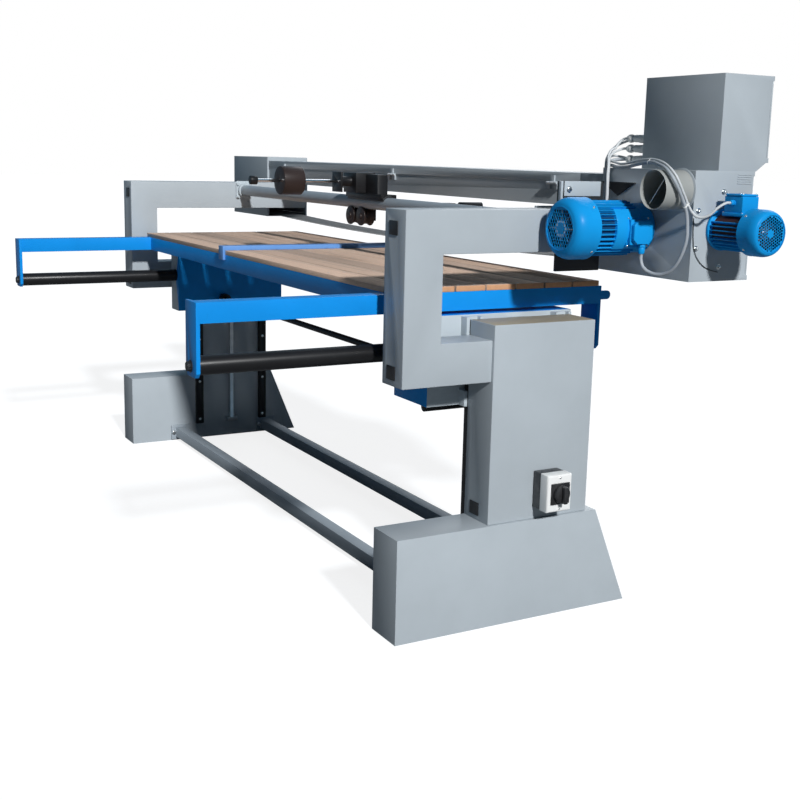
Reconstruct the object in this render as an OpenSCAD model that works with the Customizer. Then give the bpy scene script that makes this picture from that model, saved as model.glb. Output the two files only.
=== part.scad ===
// Long stroke belt sander for flat panels, millimetres, Z up.
// X runs along the table with the drive end at -X, the operator stands at -Y.
// Setbacks are measured towards the operator from the back end of the feet,
// and u is measured inwards from the outer face of a foot.

/* [Stands] */
// Overall length over the two feet
stand_span = 2900; // [2600:10:3200]
// Width of a foot along the machine
foot_w = 150; // [130:5:200]
// Length of a foot at the floor
foot_len = 890; // [800:10:1000]
// Length of a foot at its top
foot_top_len = 750; // [740:10:790]
// Height of a foot
foot_h = 335; // [280:5:380]
// Width of a column along the machine
column_w = 140; // [120:5:145]
// Depth of a column
column_d = 385; // [360:5:400]
// Setback of the column's back face
column_setback = 330; // [320:5:340]
// Height of the column's top above the floor
column_top = 970; // [940:5:980]
// Thickness of the folded sheet of the stands
sheet_t = 5; // [4:1:8]

/* [C frames] */
// Width of a C frame along the machine
arm_w = 125; // [100:5:130]
// Inset of a C frame from the foot's outer face
arm_inset = 20; // [10:1:25]
// Height of the lower and upper arms
arm_h = 130; // [110:5:140]
// Depth of the upright post
post_d = 130; // [110:5:150]
// Setback of the post's back face
post_setback = 15; // [0:5:30]
// Height of the C frame's underside above the floor
c_bottom = 792; // [770:2:800]
// Height of the C frame's top above the floor
c_top = 1318; // [1300:2:1330]
// Setback of the front end of the idler end's upper arm
idler_arm_reach = 945; // [930:5:970]

/* [Table] */
// Length of the table
table_len = 2500; // [2200:10:2510]
// Width of the table
table_w = 800; // [740:10:840]
// Setback of the table's back edge at rest
table_setback = 75; // [60:5:100]
// Height of the rails' top above the floor at rest
rail_top = 1052; // [1030:2:1056]
// Height and width of the frame rails
rail_s = 60; // [50:5:70]
// How far the end rails run out behind the table
rail_overhang = 615; // [500:5:650]
// Thickness of the wooden slats
slat_t = 18; // [15:1:20]
// Number of slats
slat_count = 7; // [5:1:9]
// Gap between slats
slat_gap = 6; // [3:1:12]
// Outer diameter of the table guide tubes
table_tube_d = 57; // [50:1:64]
// Height of the table guide tubes' axis at rest
table_tube_z = 864; // [850:2:880]
// Distance of the table guide tubes' axis from the foot's outer face
table_tube_u = 250; // [245:1:255]
// Thickness of the hanging end plates
hanger_t = 12; // [8:1:16]

/* [Lift] */
// Width of a column guide rail
lift_rail_w = 38; // [30:1:44]
// Thickness of a column guide rail
lift_rail_t = 20; // [16:1:24]
// Diameter of the lift screws
lift_screw_d = 22; // [18:1:24]
// Depth of the lift box at the drive end
drive_lift_box = 214; // [150:2:240]
// Depth of the lift box at the idler end
idler_lift_box = 106; // [100:2:240]
// Diameter of the cross shaft
cross_shaft_d = 25; // [20:1:30]

/* [Belt] */
// Width of the sanding belt
belt_w = 150; // [120:5:160]
// Thickness of the sanding belt
belt_t = 1.5; // [1:0.1:2.5]
// Sag of the slack lower run at mid-span
belt_sag = 36; // [10:1:40]
// Diameter of both pulleys
pulley_d = 220; // [200:2:224]
// Height of the pulley axes above the floor
pulley_z = 1268; // [1262:1:1272]
// Setback of the belt's centre line
belt_setback = 900; // [895:1:905]
// Overhang of the drive pulley's axis past the foot's outer face
drive_axis_out = 92; // [90:1:100]
// Overhang of the idler pulley's axis past the foot's outer face
idler_axis_out = 215; // [200:5:240]
// How far the idler pulley slides in to slacken the belt
tension_travel = 45; // [30:5:50]

/* [Housings] */
// Depth of both pulley housings
housing_d = 230; // [220:2:240]
// Overhang of the drive housing past the foot's outer face
drive_house_out = 323; // [320:1:340]
// Height of the drive housing
drive_house_h = 326; // [320:2:336]
// Length of the idler housing
idler_house_len = 480; // [460:5:520]
// Height of the idler housing
idler_house_h = 310; // [304:2:320]
// Room between the pulleys' tops and the housings' tops
housing_headroom = 70; // [66:1:78]
// Thickness of the housings' sheet
house_t = 3; // [2:0.5:4]
// Outer diameter of the dust outlet
duct_d = 116; // [100:2:120]
// Length of the dust outlet
duct_len = 108; // [80:2:140]

/* [Motors] */
// Radius of the drive motor's fan cowl
drive_motor_r = 93; // [85:1:95]
// Length of the drive motor
drive_motor_len = 311; // [290:1:330]
// Radius of the fan motor's fan cowl
fan_motor_r = 68; // [60:1:72]
// Length of the fan motor
fan_motor_len = 200; // [180:1:220]

/* [Belt guard] */
// Height of the belt guard with its cover
guard_h = 110; // [100:1:116]
// Depth of the belt guard
guard_d = 210; // [200:2:220]
// Height of the hinged cover's skirt
cover_h = 34; // [25:1:40]

/* [Pressure carriage] */
// Outer diameter of the carriage guide tube
guide_tube_d = 52; // [46:1:58]
// Setback of the carriage guide tube's axis
guide_setback = 600; // [590:2:610]
// Height of the carriage guide tube's axis
guide_z = 1278; // [1274:1:1282]
// Place of the pressure carriage along the machine at rest
carriage_x = -105; // [-600:5:600]
// Diameter of the counterweight
weight_d = 112; // [90:2:120]
// Length of the counterweight
weight_len = 90; // [60:2:180]
// Length of the pressure pad along the belt
pad_len = 180; // [150:5:220]

/* [Cabinet] */
// Width of the electrical cabinet along the machine
cabinet_w = 340; // [320:2:380]
// Depth of the electrical cabinet
cabinet_d = 193; // [170:1:200]
// Height of the electrical cabinet
cabinet_h = 280; // [260:5:380]

/* [Hidden] */
$fn = 64;
fit = 0.05;
gap = 0.3;
eps = 0.01;

end_x = stand_span / 2;
function yb(setback) = foot_len / 2 - setback;

arm_u1 = arm_inset + arm_w;
column_u0 = foot_w - column_w;
drive_arm_reach = belt_setback - housing_d / 2;
house_y0 = yb(belt_setback + housing_d / 2);
house_y1 = yb(belt_setback - housing_d / 2);
house_throat_u = arm_inset + 80;
pulley_r = pulley_d / 2;
housing_top = pulley_z + pulley_r + housing_headroom;
drive_house_z0 = housing_top - drive_house_h;
idler_house_z0 = housing_top - idler_house_h;
belt_y = yb(belt_setback);
belt_r = pulley_r + gap;
drive_pulley_x = -end_x - drive_axis_out;
idler_pulley_x = end_x + idler_axis_out;
guard_x0 = -end_x + house_throat_u;
guard_x1 = end_x - arm_inset;
guard_y0 = belt_y - guard_d / 2;
guard_y1 = belt_y + guard_d / 2;
guard_top = c_top + guard_h;
guard_t = 4;
cover_z = guard_top - cover_h;
cover_x0 = guard_x0 + 125;
guide_y = yb(guide_setback);
guide_r = guide_tube_d / 2;
guide_x0 = -end_x + arm_u1;
guide_x1 = end_x - arm_u1;

table_y1 = yb(table_setback);
table_y0 = table_y1 - table_w;
table_x = table_len / 2;
rail_z0 = rail_top - rail_s;
rail_back = table_y1 + rail_overhang;
slat_w = (table_w - (slat_count - 1) * slat_gap) / slat_count;
slat_top = rail_top + slat_t;
hanger_w = 90;
hanger_z0 = table_tube_z - 30;
lug_len = 40;
lug_r = 15;
lug_t = 10;
tube_r = table_tube_d / 2;
tube_stud_r = 8;
tube_stud_l = 13;
tube_x = end_x - table_tube_u;
bar_w = 50;
bar_h = 18;
bar_x = 200;

stretcher_s = 50;
stretcher_z = 42;
stretcher_setbacks = [247, 716];
stretcher_plate = [8, 98, 74];
stretcher_bolt_y = 36;

rail_setbacks = [column_setback + lift_rail_w / 2, column_setback + column_d - lift_rail_w / 2];
lift_rail_z0 = stretcher_z + stretcher_plate[2] / 2 + 1;
lift_rail_z1 = column_top - 4;
lift_u0 = foot_w + lift_rail_t + 16;
lift_plate_t = 12;
lift_back = yb(200);
lift_front = yb(750);
lift_z0 = 690;
lift_z1 = 980;
shoes = [[lift_z0, 50], [lift_z1 - 80, 76]];
screw_u = foot_w + 18;
screw_y = yb(column_setback + column_d / 2);
shaft_y = yb(430);
shaft_z = 745;
gear_h = 70;

fan_axis_z = 1276;
fan_axis_y = belt_y;
motor_u = -drive_axis_out;
motor_y0 = house_y1;
motor_y1 = house_y1 + drive_motor_len;
duct_u = -(drive_house_out - duct_d / 2);
duct_z = housing_top - duct_d / 2;
partition_u = -(drive_axis_out + pulley_r + 7);

saddle_x0 = carriage_x - 150;
saddle_x1 = carriage_x + 165;
block_z0 = guide_z + 32;
block_z1 = 1393;
lever_x = carriage_x + 60;
lever_z = 1363;
rod_r = 6.5;
rod_back = yb(122);
weight_y = yb(264);
roller_z = guide_z - guide_r - 31;
saddle_t = 8;
pad_y = belt_y;
pad_z0 = pulley_z - pulley_r + 36;
handle_y = yb(1135);

cabinet_u0 = -drive_house_out;
cabinet_u1 = cabinet_u0 + cabinet_w;
cabinet_y1 = house_y1 - 88;
cabinet_y0 = cabinet_y1 - cabinet_d;
cabinet_top = housing_top + cabinet_h;
gland_rows = [28, 62, 94];
gland_cols = [20, 64];
gland_body = 61;
gland_neck = 10;
gland_len = 98;

motor_lead_d = 11;
thin_lead_d = 8;

// Overall box, which sets the origin at the middle of its floor
box_x0 = -end_x - drive_house_out - fan_motor_len;
box_x1 = end_x - arm_inset + idler_house_len;
box_y0 = handle_y;
box_y1 = rail_back + hanger_t + tube_stud_l;
shift = [-(box_x0 + box_x1) / 2, -(box_y0 + box_y1) / 2, 0];

// Routes of the cables, as u, setback and height at the drive end
motor_lead_route = [[-185, 717, 1196], [-185, 717, 1181], [-189, 718, 1165], [-199, 722, 1151],
    [-214, 730, 1142], [-233, 738, 1138], [-256, 747, 1141], [-279, 754, 1154], [-301, 758, 1179],
    [-320, 760, 1218], [-330, 760, 1253], [-331, 758, 1288], [-332, 752, 1320], [-333, 742, 1344],
    [-334, 728, 1368], [-336, 713, 1390], [-334, 700, 1411], [-324, 692, 1431], [-298, 694, 1450],
    [-252, 709, 1461], [-201, 727, 1468], [-147, 743, 1466], [-86, 757, 1459], [-38, 766, 1452],
    [20, 774, 1451], [52, 783, 1455], [88, 797, 1457], [119, 814, 1460], [142, 833, 1464],
    [153, 853, 1469], [151, 873, 1473], [141, 887, 1475], [128, 893, 1476], [115, 893, 1476]];
fan_lead_route = [[-397, 855, 1358], [-397, 843, 1358], [-394, 830, 1353], [-387, 815, 1341],
    [-377, 803, 1325], [-363, 790, 1315], [-348, 777, 1316], [-335, 768, 1329], [-330, 757, 1348],
    [-330, 745, 1368], [-331, 731, 1389], [-330, 718, 1411], [-322, 709, 1433], [-299, 708, 1452],
    [-259, 718, 1467], [-210, 732, 1475], [-156, 746, 1476], [-103, 757, 1472], [-47, 766, 1464],
    [-1, 772, 1461], [42, 781, 1466], [80, 793, 1470], [112, 811, 1473], [138, 834, 1479],
    [154, 858, 1484], [161, 884, 1486], [158, 909, 1483], [146, 928, 1478], [129, 937, 1476],
    [115, 937, 1476]];
arm_cable_routes = [
    [[115, 893, 1542], [127, 893, 1542], [137, 887, 1537], [140, 874, 1525], [129, 854, 1511],
     [111, 825, 1505], [87, 797, 1496], [62, 772, 1483], [39, 755, 1458], [32, 748, 1427],
     [29, 746, 1396], [28, 746, 1362], [28, 746, 1318]],
    [[115, 893, 1510], [128, 893, 1510], [138, 884, 1507], [131, 858, 1500], [110, 829, 1494],
     [86, 801, 1487], [62, 777, 1475], [44, 762, 1450], [38, 756, 1425], [35, 754, 1396],
     [34, 754, 1362], [34, 754, 1318]],
    [[115, 937, 1542], [128, 937, 1542], [144, 930, 1539], [154, 914, 1532], [156, 893, 1524],
     [150, 869, 1514], [139, 849, 1505], [119, 823, 1494], [95, 796, 1483], [70, 771, 1470],
     [54, 757, 1450], [47, 753, 1425], [44, 752, 1396], [43, 751, 1362], [43, 751, 1318]]];

// Shared helpers

// Moves the children so that the origin is at the middle of the floor under the machine.
module place() {
    translate(shift) children();
}

// Puts children drawn in u, y and z at the drive end (-1) or mirrored at the idler end (1).
module at_end(side) {
    place()
        if (side < 0) translate([-end_x, 0, 0]) children();
        else translate([end_x, 0, 0]) mirror([1, 0, 0]) children();
}

module both_ends() {
    at_end(-1) children();
    at_end(1) children();
}

module block(a, b) {
    translate(a) cube(b - a);
}

module rod_x(r, x0, x1, y, z) {
    translate([x0, y, z]) rotate([0, 90, 0]) cylinder(r = r, h = x1 - x0);
}

module rod_y(r, y0, y1, x, z) {
    translate([x, y1, z]) rotate([90, 0, 0]) cylinder(r = r, h = y1 - y0);
}

module rod_z(r, z0, z1, x, y) {
    translate([x, y, z0]) cylinder(r = r, h = z1 - z0);
}

// Hexagon with the given width across flats, along X, Y or Z.
module hex_x(flats, x0, x1, y, z) {
    translate([x0, y, z]) rotate([0, 90, 0]) cylinder(r = flats / sqrt(3), h = x1 - x0, $fn = 6);
}

module hex_y(flats, y0, y1, x, z) {
    translate([x, y1, z]) rotate([90, 0, 0]) cylinder(r = flats / sqrt(3), h = y1 - y0, $fn = 6);
}

// Outline in y and z, drawn along X from x0 to x1.
module along_x(x0, x1) {
    translate([x0, 0, 0]) rotate([90, 0, 90]) linear_extrude(x1 - x0) children();
}

// Outline in x and z, drawn along Y from y0 to y1.
module along_y(y0, y1) {
    translate([0, y1, 0]) rotate([90, 0, 0]) linear_extrude(y1 - y0) children();
}

// Tube swept along a route of points in u, setback and height, at the drive end.
function route_point(p) = [p[0], yb(p[1]), p[2]];
function unit(v) = v / norm(v);
function tangent(q, i) =
    unit(i == 0 ? q[1] - q[0] : i == len(q) - 1 ? q[i] - q[i - 1] : unit(q[i + 1] - q[i]) + unit(q[i] - q[i - 1]));
module swept_tube(route, d, sides = 8) {
    q = [for (p = route) route_point(p)];
    n = len(q);
    // The side vector is kept square to each tangent, starting from one common direction.
    function side(i) = let (t = tangent(q, i), s = i == 0 ? [0.31, 0.17, 0.93] : side(i - 1)) unit(s - (s * t) * t);
    rings = [for (i = [0 : n - 1]) let (t = tangent(q, i), a = side(i), b = cross(t, a))
        for (k = [0 : sides - 1]) q[i] + d / 2 * (cos(360 * k / sides) * a + sin(360 * k / sides) * b)];
    walls = [for (i = [0 : n - 2], k = [0 : sides - 1], h = [0, 1])
        let (a = i * sides + k, b = i * sides + (k + 1) % sides)
        h == 0 ? [a, b + sides, b] : [a, a + sides, b + sides]];
    first = [for (k = [1 : sides - 2]) [0, k, k + 1]];
    last = [for (k = [1 : sides - 2]) [(n - 1) * sides, (n - 1) * sides + k + 1, (n - 1) * sides + k]];
    polyhedron(points = rings, faces = concat(walls, first, last), convexity = 6);
}

// Stands

module foot_outline(inset) {
    slope = foot_len - foot_top_len;
    polygon([[yb(inset), inset], [yb(foot_len) + 1.6 * inset, inset],
        [yb(foot_top_len) + (slope > 0 ? 0.8 : 1) * inset, foot_h - inset], [yb(inset), foot_h - inset]]);
}

anchor_r = 7;
anchor_setbacks = [110, foot_len - 190];
module feet() {
    color([0.66, 0.71, 0.74]) both_ends() difference() {
        along_x(0, foot_w) foot_outline(0);
        along_x(sheet_t, foot_w - sheet_t) foot_outline(sheet_t);
        for (s = anchor_setbacks) rod_z(anchor_r, -1, sheet_t + 1, foot_w / 2, yb(s));
    }
}

plug_u = arm_inset + 71;
plug_w = 48;
plug_h = 40;
plug_zs = [c_bottom + 40, c_top - 55];
column_plug_z = foot_h + 36;
module plug_hole(y, z) {
    block([plug_u - plug_w / 2, y - sheet_t - 3, z - plug_h / 2], [plug_u + plug_w / 2, y + 1, z + plug_h / 2]);
}

module column() {
    difference() {
        block([column_u0, yb(column_setback + column_d), foot_h], [foot_w, yb(column_setback), column_top]);
        block([column_u0 + sheet_t, yb(column_setback + column_d) + sheet_t, foot_h - 1],
            [foot_w - sheet_t, yb(column_setback) - sheet_t, column_top - sheet_t]);
        plug_hole(yb(column_setback), column_plug_z);
    }
}

module columns() {
    color([0.66, 0.71, 0.74]) both_ends() column();
}

module c_shape(reach, t) {
    y_back = yb(post_setback) - t;
    block([arm_inset + t, yb(post_setback + post_d) + t, c_bottom + t], [arm_u1 - t, y_back, c_top - t]);
    block([arm_inset + t, yb(column_setback) + t, c_bottom + t], [arm_u1 - t, y_back, c_bottom + arm_h - t]);
    block([arm_inset + t, yb(reach) + t, c_top - arm_h + t], [arm_u1 - t, y_back, c_top - t]);
}

module c_frame(reach) {
    difference() {
        c_shape(reach, 0);
        c_shape(reach, sheet_t);
        for (z = plug_zs) plug_hole(yb(post_setback), z);
    }
}

module drive_end_c_frame() {
    color([0.66, 0.71, 0.74]) at_end(-1) c_frame(drive_arm_reach);
}

module idler_end_c_frame() {
    color([0.66, 0.71, 0.74]) at_end(1) c_frame(idler_arm_reach);
}

module plug(y, z) {
    c = gap;
    block([plug_u - plug_w / 2 + c, y - sheet_t, z - plug_h / 2 + c], [plug_u + plug_w / 2 - c, y, z + plug_h / 2 - c]);
    block([plug_u - plug_w / 2 - 1, y, z - plug_h / 2 - 1], [plug_u + plug_w / 2 + 1, y + 2, z + plug_h / 2 + 1]);
}

module frame_plugs() {
    color([0.06, 0.06, 0.07]) both_ends() {
        for (z = plug_zs) plug(yb(post_setback), z);
        plug(yb(column_setback), column_plug_z);
    }
}

module foot_stretchers() {
    color([0.52, 0.57, 0.61]) place() for (s = stretcher_setbacks) {
        block([-end_x + foot_w, yb(s) - stretcher_s / 2, stretcher_z - stretcher_s / 2],
            [end_x - foot_w, yb(s) + stretcher_s / 2, stretcher_z + stretcher_s / 2]);
        for (side = [-1, 1]) translate([side * (end_x - foot_w - stretcher_plate[0] / 2), yb(s), stretcher_z])
            cube(stretcher_plate, center = true);
    }
}

rail_bolt_r = 7;
rail_bolt_zs = [lift_rail_z0 + 22, 300, 520, 740, lift_rail_z1 - 22];
module frame_bolts() {
    color([0.75, 0.77, 0.8]) both_ends() {
        for (s = stretcher_setbacks, d = [-stretcher_bolt_y, stretcher_bolt_y])
            hex_x(19, foot_w + stretcher_plate[0], foot_w + stretcher_plate[0] + 8, yb(s) + d, stretcher_z);
        for (s = rail_setbacks, z = rail_bolt_zs)
            rod_x(rail_bolt_r, foot_w + lift_rail_t - 9, foot_w + lift_rail_t - 1, yb(s), z);
    }
}

// Table lift

module lift_guide_rails() {
    color([0.08, 0.08, 0.09]) both_ends() for (s = rail_setbacks) difference() {
        block([foot_w, yb(s) - lift_rail_w / 2, lift_rail_z0], [foot_w + lift_rail_t, yb(s) + lift_rail_w / 2, lift_rail_z1]);
        for (z = rail_bolt_zs) rod_x(rail_bolt_r + fit, foot_w + lift_rail_t - 9, foot_w + lift_rail_t + 1, yb(s), z);
    }
}

module lift_screws() {
    color([0.62, 0.63, 0.65]) both_ends() {
        rod_z(lift_screw_d / 2, lift_rail_z0 + 6, lift_rail_z1 - 6, screw_u, screw_y);
        for (z = [lift_rail_z0, lift_rail_z1 - 20])
            block([foot_w, screw_y - 28, z], [screw_u + 14, screw_y + 28, z + 20]);
    }
}

// Grey sliding shoe that hugs one column rail.
module lift_shoe(s, z, h) {
    difference() {
        block([foot_w + 2, yb(s) - lift_rail_w / 2 - 12, z], [lift_u0, yb(s) + lift_rail_w / 2 + 12, z + h]);
        block([foot_w, yb(s) - lift_rail_w / 2 - gap, z - 1],
            [foot_w + lift_rail_t + gap, yb(s) + lift_rail_w / 2 + gap, z + h + 1]);
    }
}

bearing_l = 70;
bearing_s = 82;
module lift_box(depth) {
    t = lift_plate_t;
    u1 = lift_u0 + depth;
    difference() {
        union() {
            block([lift_u0, lift_front, lift_z0], [u1, lift_back, lift_z1]);
            for (s = rail_setbacks, shoe = shoes) lift_shoe(s, shoe[0], shoe[1]);
        }
        difference() {
            block([lift_u0 + t, lift_front + t, lift_z0 - 1], [u1 - t, lift_back - t, lift_z1 - t]);
            for (y = [lift_front + bearing_l / 2, lift_back - bearing_l / 2])
                translate([table_tube_u, y, table_tube_z]) cube([bearing_s, bearing_l, bearing_s], center = true);
        }
        rod_y(tube_r + fit, lift_front - 1, lift_back + 1, table_tube_u, table_tube_z);
        block([lift_u0 - 1, screw_y - 30, shaft_z - gear_h / 2 - 1],
            [lift_u0 + t + 1, screw_y + 30, shaft_z + gear_h / 2 + 1]);
        rod_x(cross_shaft_d / 2 + 5, u1 - t - 1, u1 + 1, shaft_y, shaft_z);
    }
}

module lift_carriages() {
    color([0.09, 0.5, 0.93]) {
        at_end(-1) lift_box(drive_lift_box);
        at_end(1) lift_box(idler_lift_box);
    }
}

// Screw nut and bevel gearbox in one housing, with the gear motor at the drive end.
gear_u1 = lift_u0 + lift_plate_t + 62;
lift_motor_r = 16;
lift_motor_z = lift_z0 - 6;
module gear_case() {
    difference() {
        union() {
            block([screw_u - 15, screw_y - 26, shaft_z - gear_h / 2], [lift_u0 + 20, screw_y + 26, shaft_z + gear_h / 2]);
            block([lift_u0 + lift_plate_t, screw_y - 26, shaft_z - gear_h / 2], [gear_u1, shaft_y + 36, shaft_z + gear_h / 2]);
        }
        rod_z(lift_screw_d / 2 + fit, shaft_z - gear_h, shaft_z + gear_h, screw_u, screw_y);
        rod_x(cross_shaft_d / 2 + fit, gear_u1 - 40, gear_u1 + 1, shaft_y, shaft_z);
    }
}

module lift_drive() {
    color([0.1, 0.1, 0.11]) {
        both_ends() gear_case();
        at_end(-1) {
            rod_y(lift_motor_r, shaft_y - 10, yb(212), lift_u0 + 40, lift_motor_z);
            block([lift_u0 + 26, shaft_y - 10, lift_motor_z], [lift_u0 + 54, shaft_y + 30, shaft_z - gear_h / 2]);
        }
    }
}

coupling_l = 34;
module lift_cross_shaft() {
    color([0.16, 0.16, 0.17]) place() {
        rod_x(cross_shaft_d / 2, -end_x + gear_u1 - 38, end_x - gear_u1 + 38, shaft_y, shaft_z);
        rod_x(cross_shaft_d / 2 + 14, end_x - lift_u0 - idler_lift_box - 14 - coupling_l,
            end_x - lift_u0 - idler_lift_box - 14, shaft_y, shaft_z);
    }
}

// Table

module hanger(y0) {
    w = end_x - table_x;
    along_y(y0, y0 + hanger_t) difference() {
        polygon([[w, rail_top], [w + hanger_w, rail_top], [w + hanger_w, hanger_z0 + 14],
            [w + hanger_w - 14, hanger_z0], [w + 14, hanger_z0], [w, hanger_z0 + 14]]);
        translate([table_tube_u, table_tube_z]) circle(r = tube_stud_r + fit);
    }
}

cross_count = 4;
module table_frame() {
    w = end_x - table_x;
    color([0.09, 0.5, 0.93]) {
        both_ends() {
            difference() {
                block([w, table_y0, rail_z0], [w + rail_s, rail_back, rail_top]);
                block([w + 3, table_y0 - 1, rail_z0 + 3], [w + rail_s - 3, rail_back - 3, rail_top - 3]);
            }
            hanger(rail_back);
            hanger(table_y0 - hanger_t);
            block([w, table_y0 - hanger_t - lug_len + lug_r, rail_z0 + 28 - lug_r],
                [w + lug_t, table_y0 - hanger_t, rail_z0 + 28 + lug_r]);
            rod_x(lug_r, w, w + lug_t, table_y0 - hanger_t - lug_len + lug_r, rail_z0 + 28);
        }
        place() {
            for (y = [table_y0, table_y1 - 40])
                block([-table_x + rail_s, y, rail_z0], [table_x - rail_s, y + 40, rail_top]);
            for (i = [1 : cross_count]) let (x = -table_x + i * table_len / (cross_count + 1))
                block([x - 20, table_y0 + 40, rail_z0 + 8], [x + 20, table_y1 - 40, rail_top]);
        }
    }
}

module table_slats() {
    color([0.75, 0.6, 0.5]) place() for (i = [0 : slat_count - 1]) let (y = table_y0 + i * (slat_w + slat_gap))
        block([-table_x, y, rail_top], [table_x, y + slat_w, slat_top]);
}

module table_guide_tubes() {
    y0 = table_y0;
    y1 = rail_back;
    color([0.07, 0.07, 0.08]) both_ends() {
        difference() {
            rod_y(tube_r, y0, y1, table_tube_u, table_tube_z);
            rod_y(tube_r - 5, y0 + 12, y1 - 12, table_tube_u, table_tube_z);
            rod_z(2, table_tube_z - tube_r - 1, table_tube_z, table_tube_u, y1 - 40);
        }
        rod_y(tube_stud_r, y0 - hanger_t - tube_stud_l, y0 + 1, table_tube_u, table_tube_z);
        rod_y(tube_stud_r, y1 - 1, y1 + hanger_t + tube_stud_l, table_tube_u, table_tube_z);
        hex_y(26, y0 - hanger_t - 10, y0 - hanger_t, table_tube_u, table_tube_z);
        hex_y(26, y1 + hanger_t, y1 + hanger_t + 10, table_tube_u, table_tube_z);
    }
}

module stop_bar() {
    z0 = slat_top + gap;
    color([0.42, 0.6, 0.86]) place() {
        block([bar_x - bar_w / 2, table_y0 + 4, z0], [bar_x + bar_w / 2, table_y1 + gap, z0 + bar_h]);
        block([bar_x - bar_w / 2, table_y1 + gap, rail_top - 20], [bar_x + bar_w / 2, table_y1 + 12, z0 + bar_h]);
    }
}

// Belt, pulleys and guard

run_half = (idler_pulley_x - drive_pulley_x) / 2;
run_mid = (idler_pulley_x + drive_pulley_x) / 2;
// The slack lower run is a shallow arc of the given sag that leaves both pulleys at a tangent.
sag_up = (run_half * run_half - belt_sag * belt_sag) / (2 * belt_sag);
sag_r = sag_up + belt_sag + belt_r;
sag_a = atan(run_half / sag_up);
function arc(c, r, a0, a1, n) = [for (i = [0 : n]) let (a = a0 + (a1 - a0) * i / n) c + r * [cos(a), sin(a)]];
function belt_loop(t) = concat(
    arc([drive_pulley_x, pulley_z], belt_r + t, 90, 270 - sag_a, 40),
    arc([run_mid, pulley_z + sag_up], sag_r + t, 270 - sag_a * 0.92, 270 + sag_a * 0.92, 22),
    arc([idler_pulley_x, pulley_z], belt_r + t, 270 + sag_a, 450, 40));

module sanding_belt() {
    color([0.62, 0.58, 0.53]) place() along_y(belt_y - belt_w / 2, belt_y + belt_w / 2) difference() {
        polygon(belt_loop(belt_t));
        polygon(belt_loop(0));
    }
}

shaft_r = 14;
module drive_pulley() {
    color([0.7, 0.72, 0.74]) at_end(-1) difference() {
        rod_y(pulley_r, belt_y - belt_w / 2 - 4, belt_y + belt_w / 2 + 4, motor_u, pulley_z);
        rod_y(pulley_r - 12, belt_y - belt_w / 2 - 5, belt_y - 8, motor_u, pulley_z);
        rod_y(pulley_r - 12, belt_y + 8, belt_y + belt_w / 2 + 5, motor_u, pulley_z);
        rod_y(shaft_r + fit, belt_y - 40, belt_y + 40, motor_u, pulley_z);
    }
    color([0.7, 0.72, 0.74]) at_end(-1) difference() {
        rod_y(28, belt_y - 34, belt_y - 8, motor_u, pulley_z);
        rod_y(shaft_r + fit, belt_y - 40, belt_y + 40, motor_u, pulley_z);
    }
}

axle_r = 15;
module idler_pulley() {
    color([0.7, 0.72, 0.74]) place() {
        difference() {
            rod_y(pulley_r, belt_y - belt_w / 2 - 2, belt_y + belt_w / 2 + 2, idler_pulley_x, pulley_z);
            rod_y(pulley_r - 10, belt_y - belt_w / 2 - 3, belt_y - 50, idler_pulley_x, pulley_z);
            rod_y(pulley_r - 10, belt_y + 50, belt_y + belt_w / 2 + 3, idler_pulley_x, pulley_z);
            rod_y(26, belt_y - 51, belt_y + 51, idler_pulley_x, pulley_z);
        }
        for (s = [-1, 1]) difference() {
            rod_y(26, belt_y + s * 38 - 8, belt_y + s * 38 + 8, idler_pulley_x, pulley_z);
            rod_y(axle_r + fit, belt_y - 60, belt_y + 60, idler_pulley_x, pulley_z);
        }
    }
}

// Fork that carries the idler axle and slides on four rods inside the housing.
house_x1 = end_x - arm_inset + idler_house_len;
rod_r_t = 8;
rod_dy = belt_w / 2 + 20;
rod_dz = 66;
fork_x0 = idler_pulley_x + pulley_r + tension_travel + 15;
fork_x1 = fork_x0 + 14;
tension_screw_r = 8;
nut_x0 = house_x1 - house_t - 14;
module tension_fork() {
    color([0.3, 0.32, 0.34]) place() difference() {
        union() {
            for (s = [-1, 1])
                block([idler_pulley_x - 26, belt_y + s * rod_dy - 6, pulley_z - 26],
                    [fork_x1, belt_y + s * rod_dy + 6, pulley_z + 26]);
            block([fork_x0, belt_y - rod_dy - 14, pulley_z - rod_dz - 16],
                [fork_x1, belt_y + rod_dy + 14, pulley_z + rod_dz + 16]);
            rod_y(axle_r, belt_y - rod_dy - 8, belt_y + rod_dy + 8, idler_pulley_x, pulley_z);
        }
        for (s = [-1, 1], h = [-1, 1])
            rod_x(rod_r_t + fit, fork_x0 - 1, fork_x1 + 1, belt_y + s * rod_dy, pulley_z + h * rod_dz);
        rod_x(tension_screw_r + fit, fork_x0 - 1, fork_x1 + 1, belt_y, pulley_z);
    }
}

module tension_rails() {
    color([0.7, 0.72, 0.74]) place() {
        for (s = [-1, 1], h = [-1, 1])
            rod_x(rod_r_t, end_x - arm_inset + house_t, house_x1 - house_t, belt_y + s * rod_dy, pulley_z + h * rod_dz);
        difference() {
            block([nut_x0, belt_y - 30, pulley_z - 30], [house_x1 - house_t, belt_y + 30, pulley_z + 30]);
            rod_x(tension_screw_r + fit, nut_x0 - 1, house_x1, belt_y, pulley_z);
        }
    }
}

module tension_screw() {
    color([0.12, 0.12, 0.13]) place() {
        rod_x(tension_screw_r, fork_x0 - tension_travel - 5, nut_x0 + 12, belt_y, pulley_z);
        rod_x(26, nut_x0 - 26, nut_x0 - 4, belt_y, pulley_z);
    }
}

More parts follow.
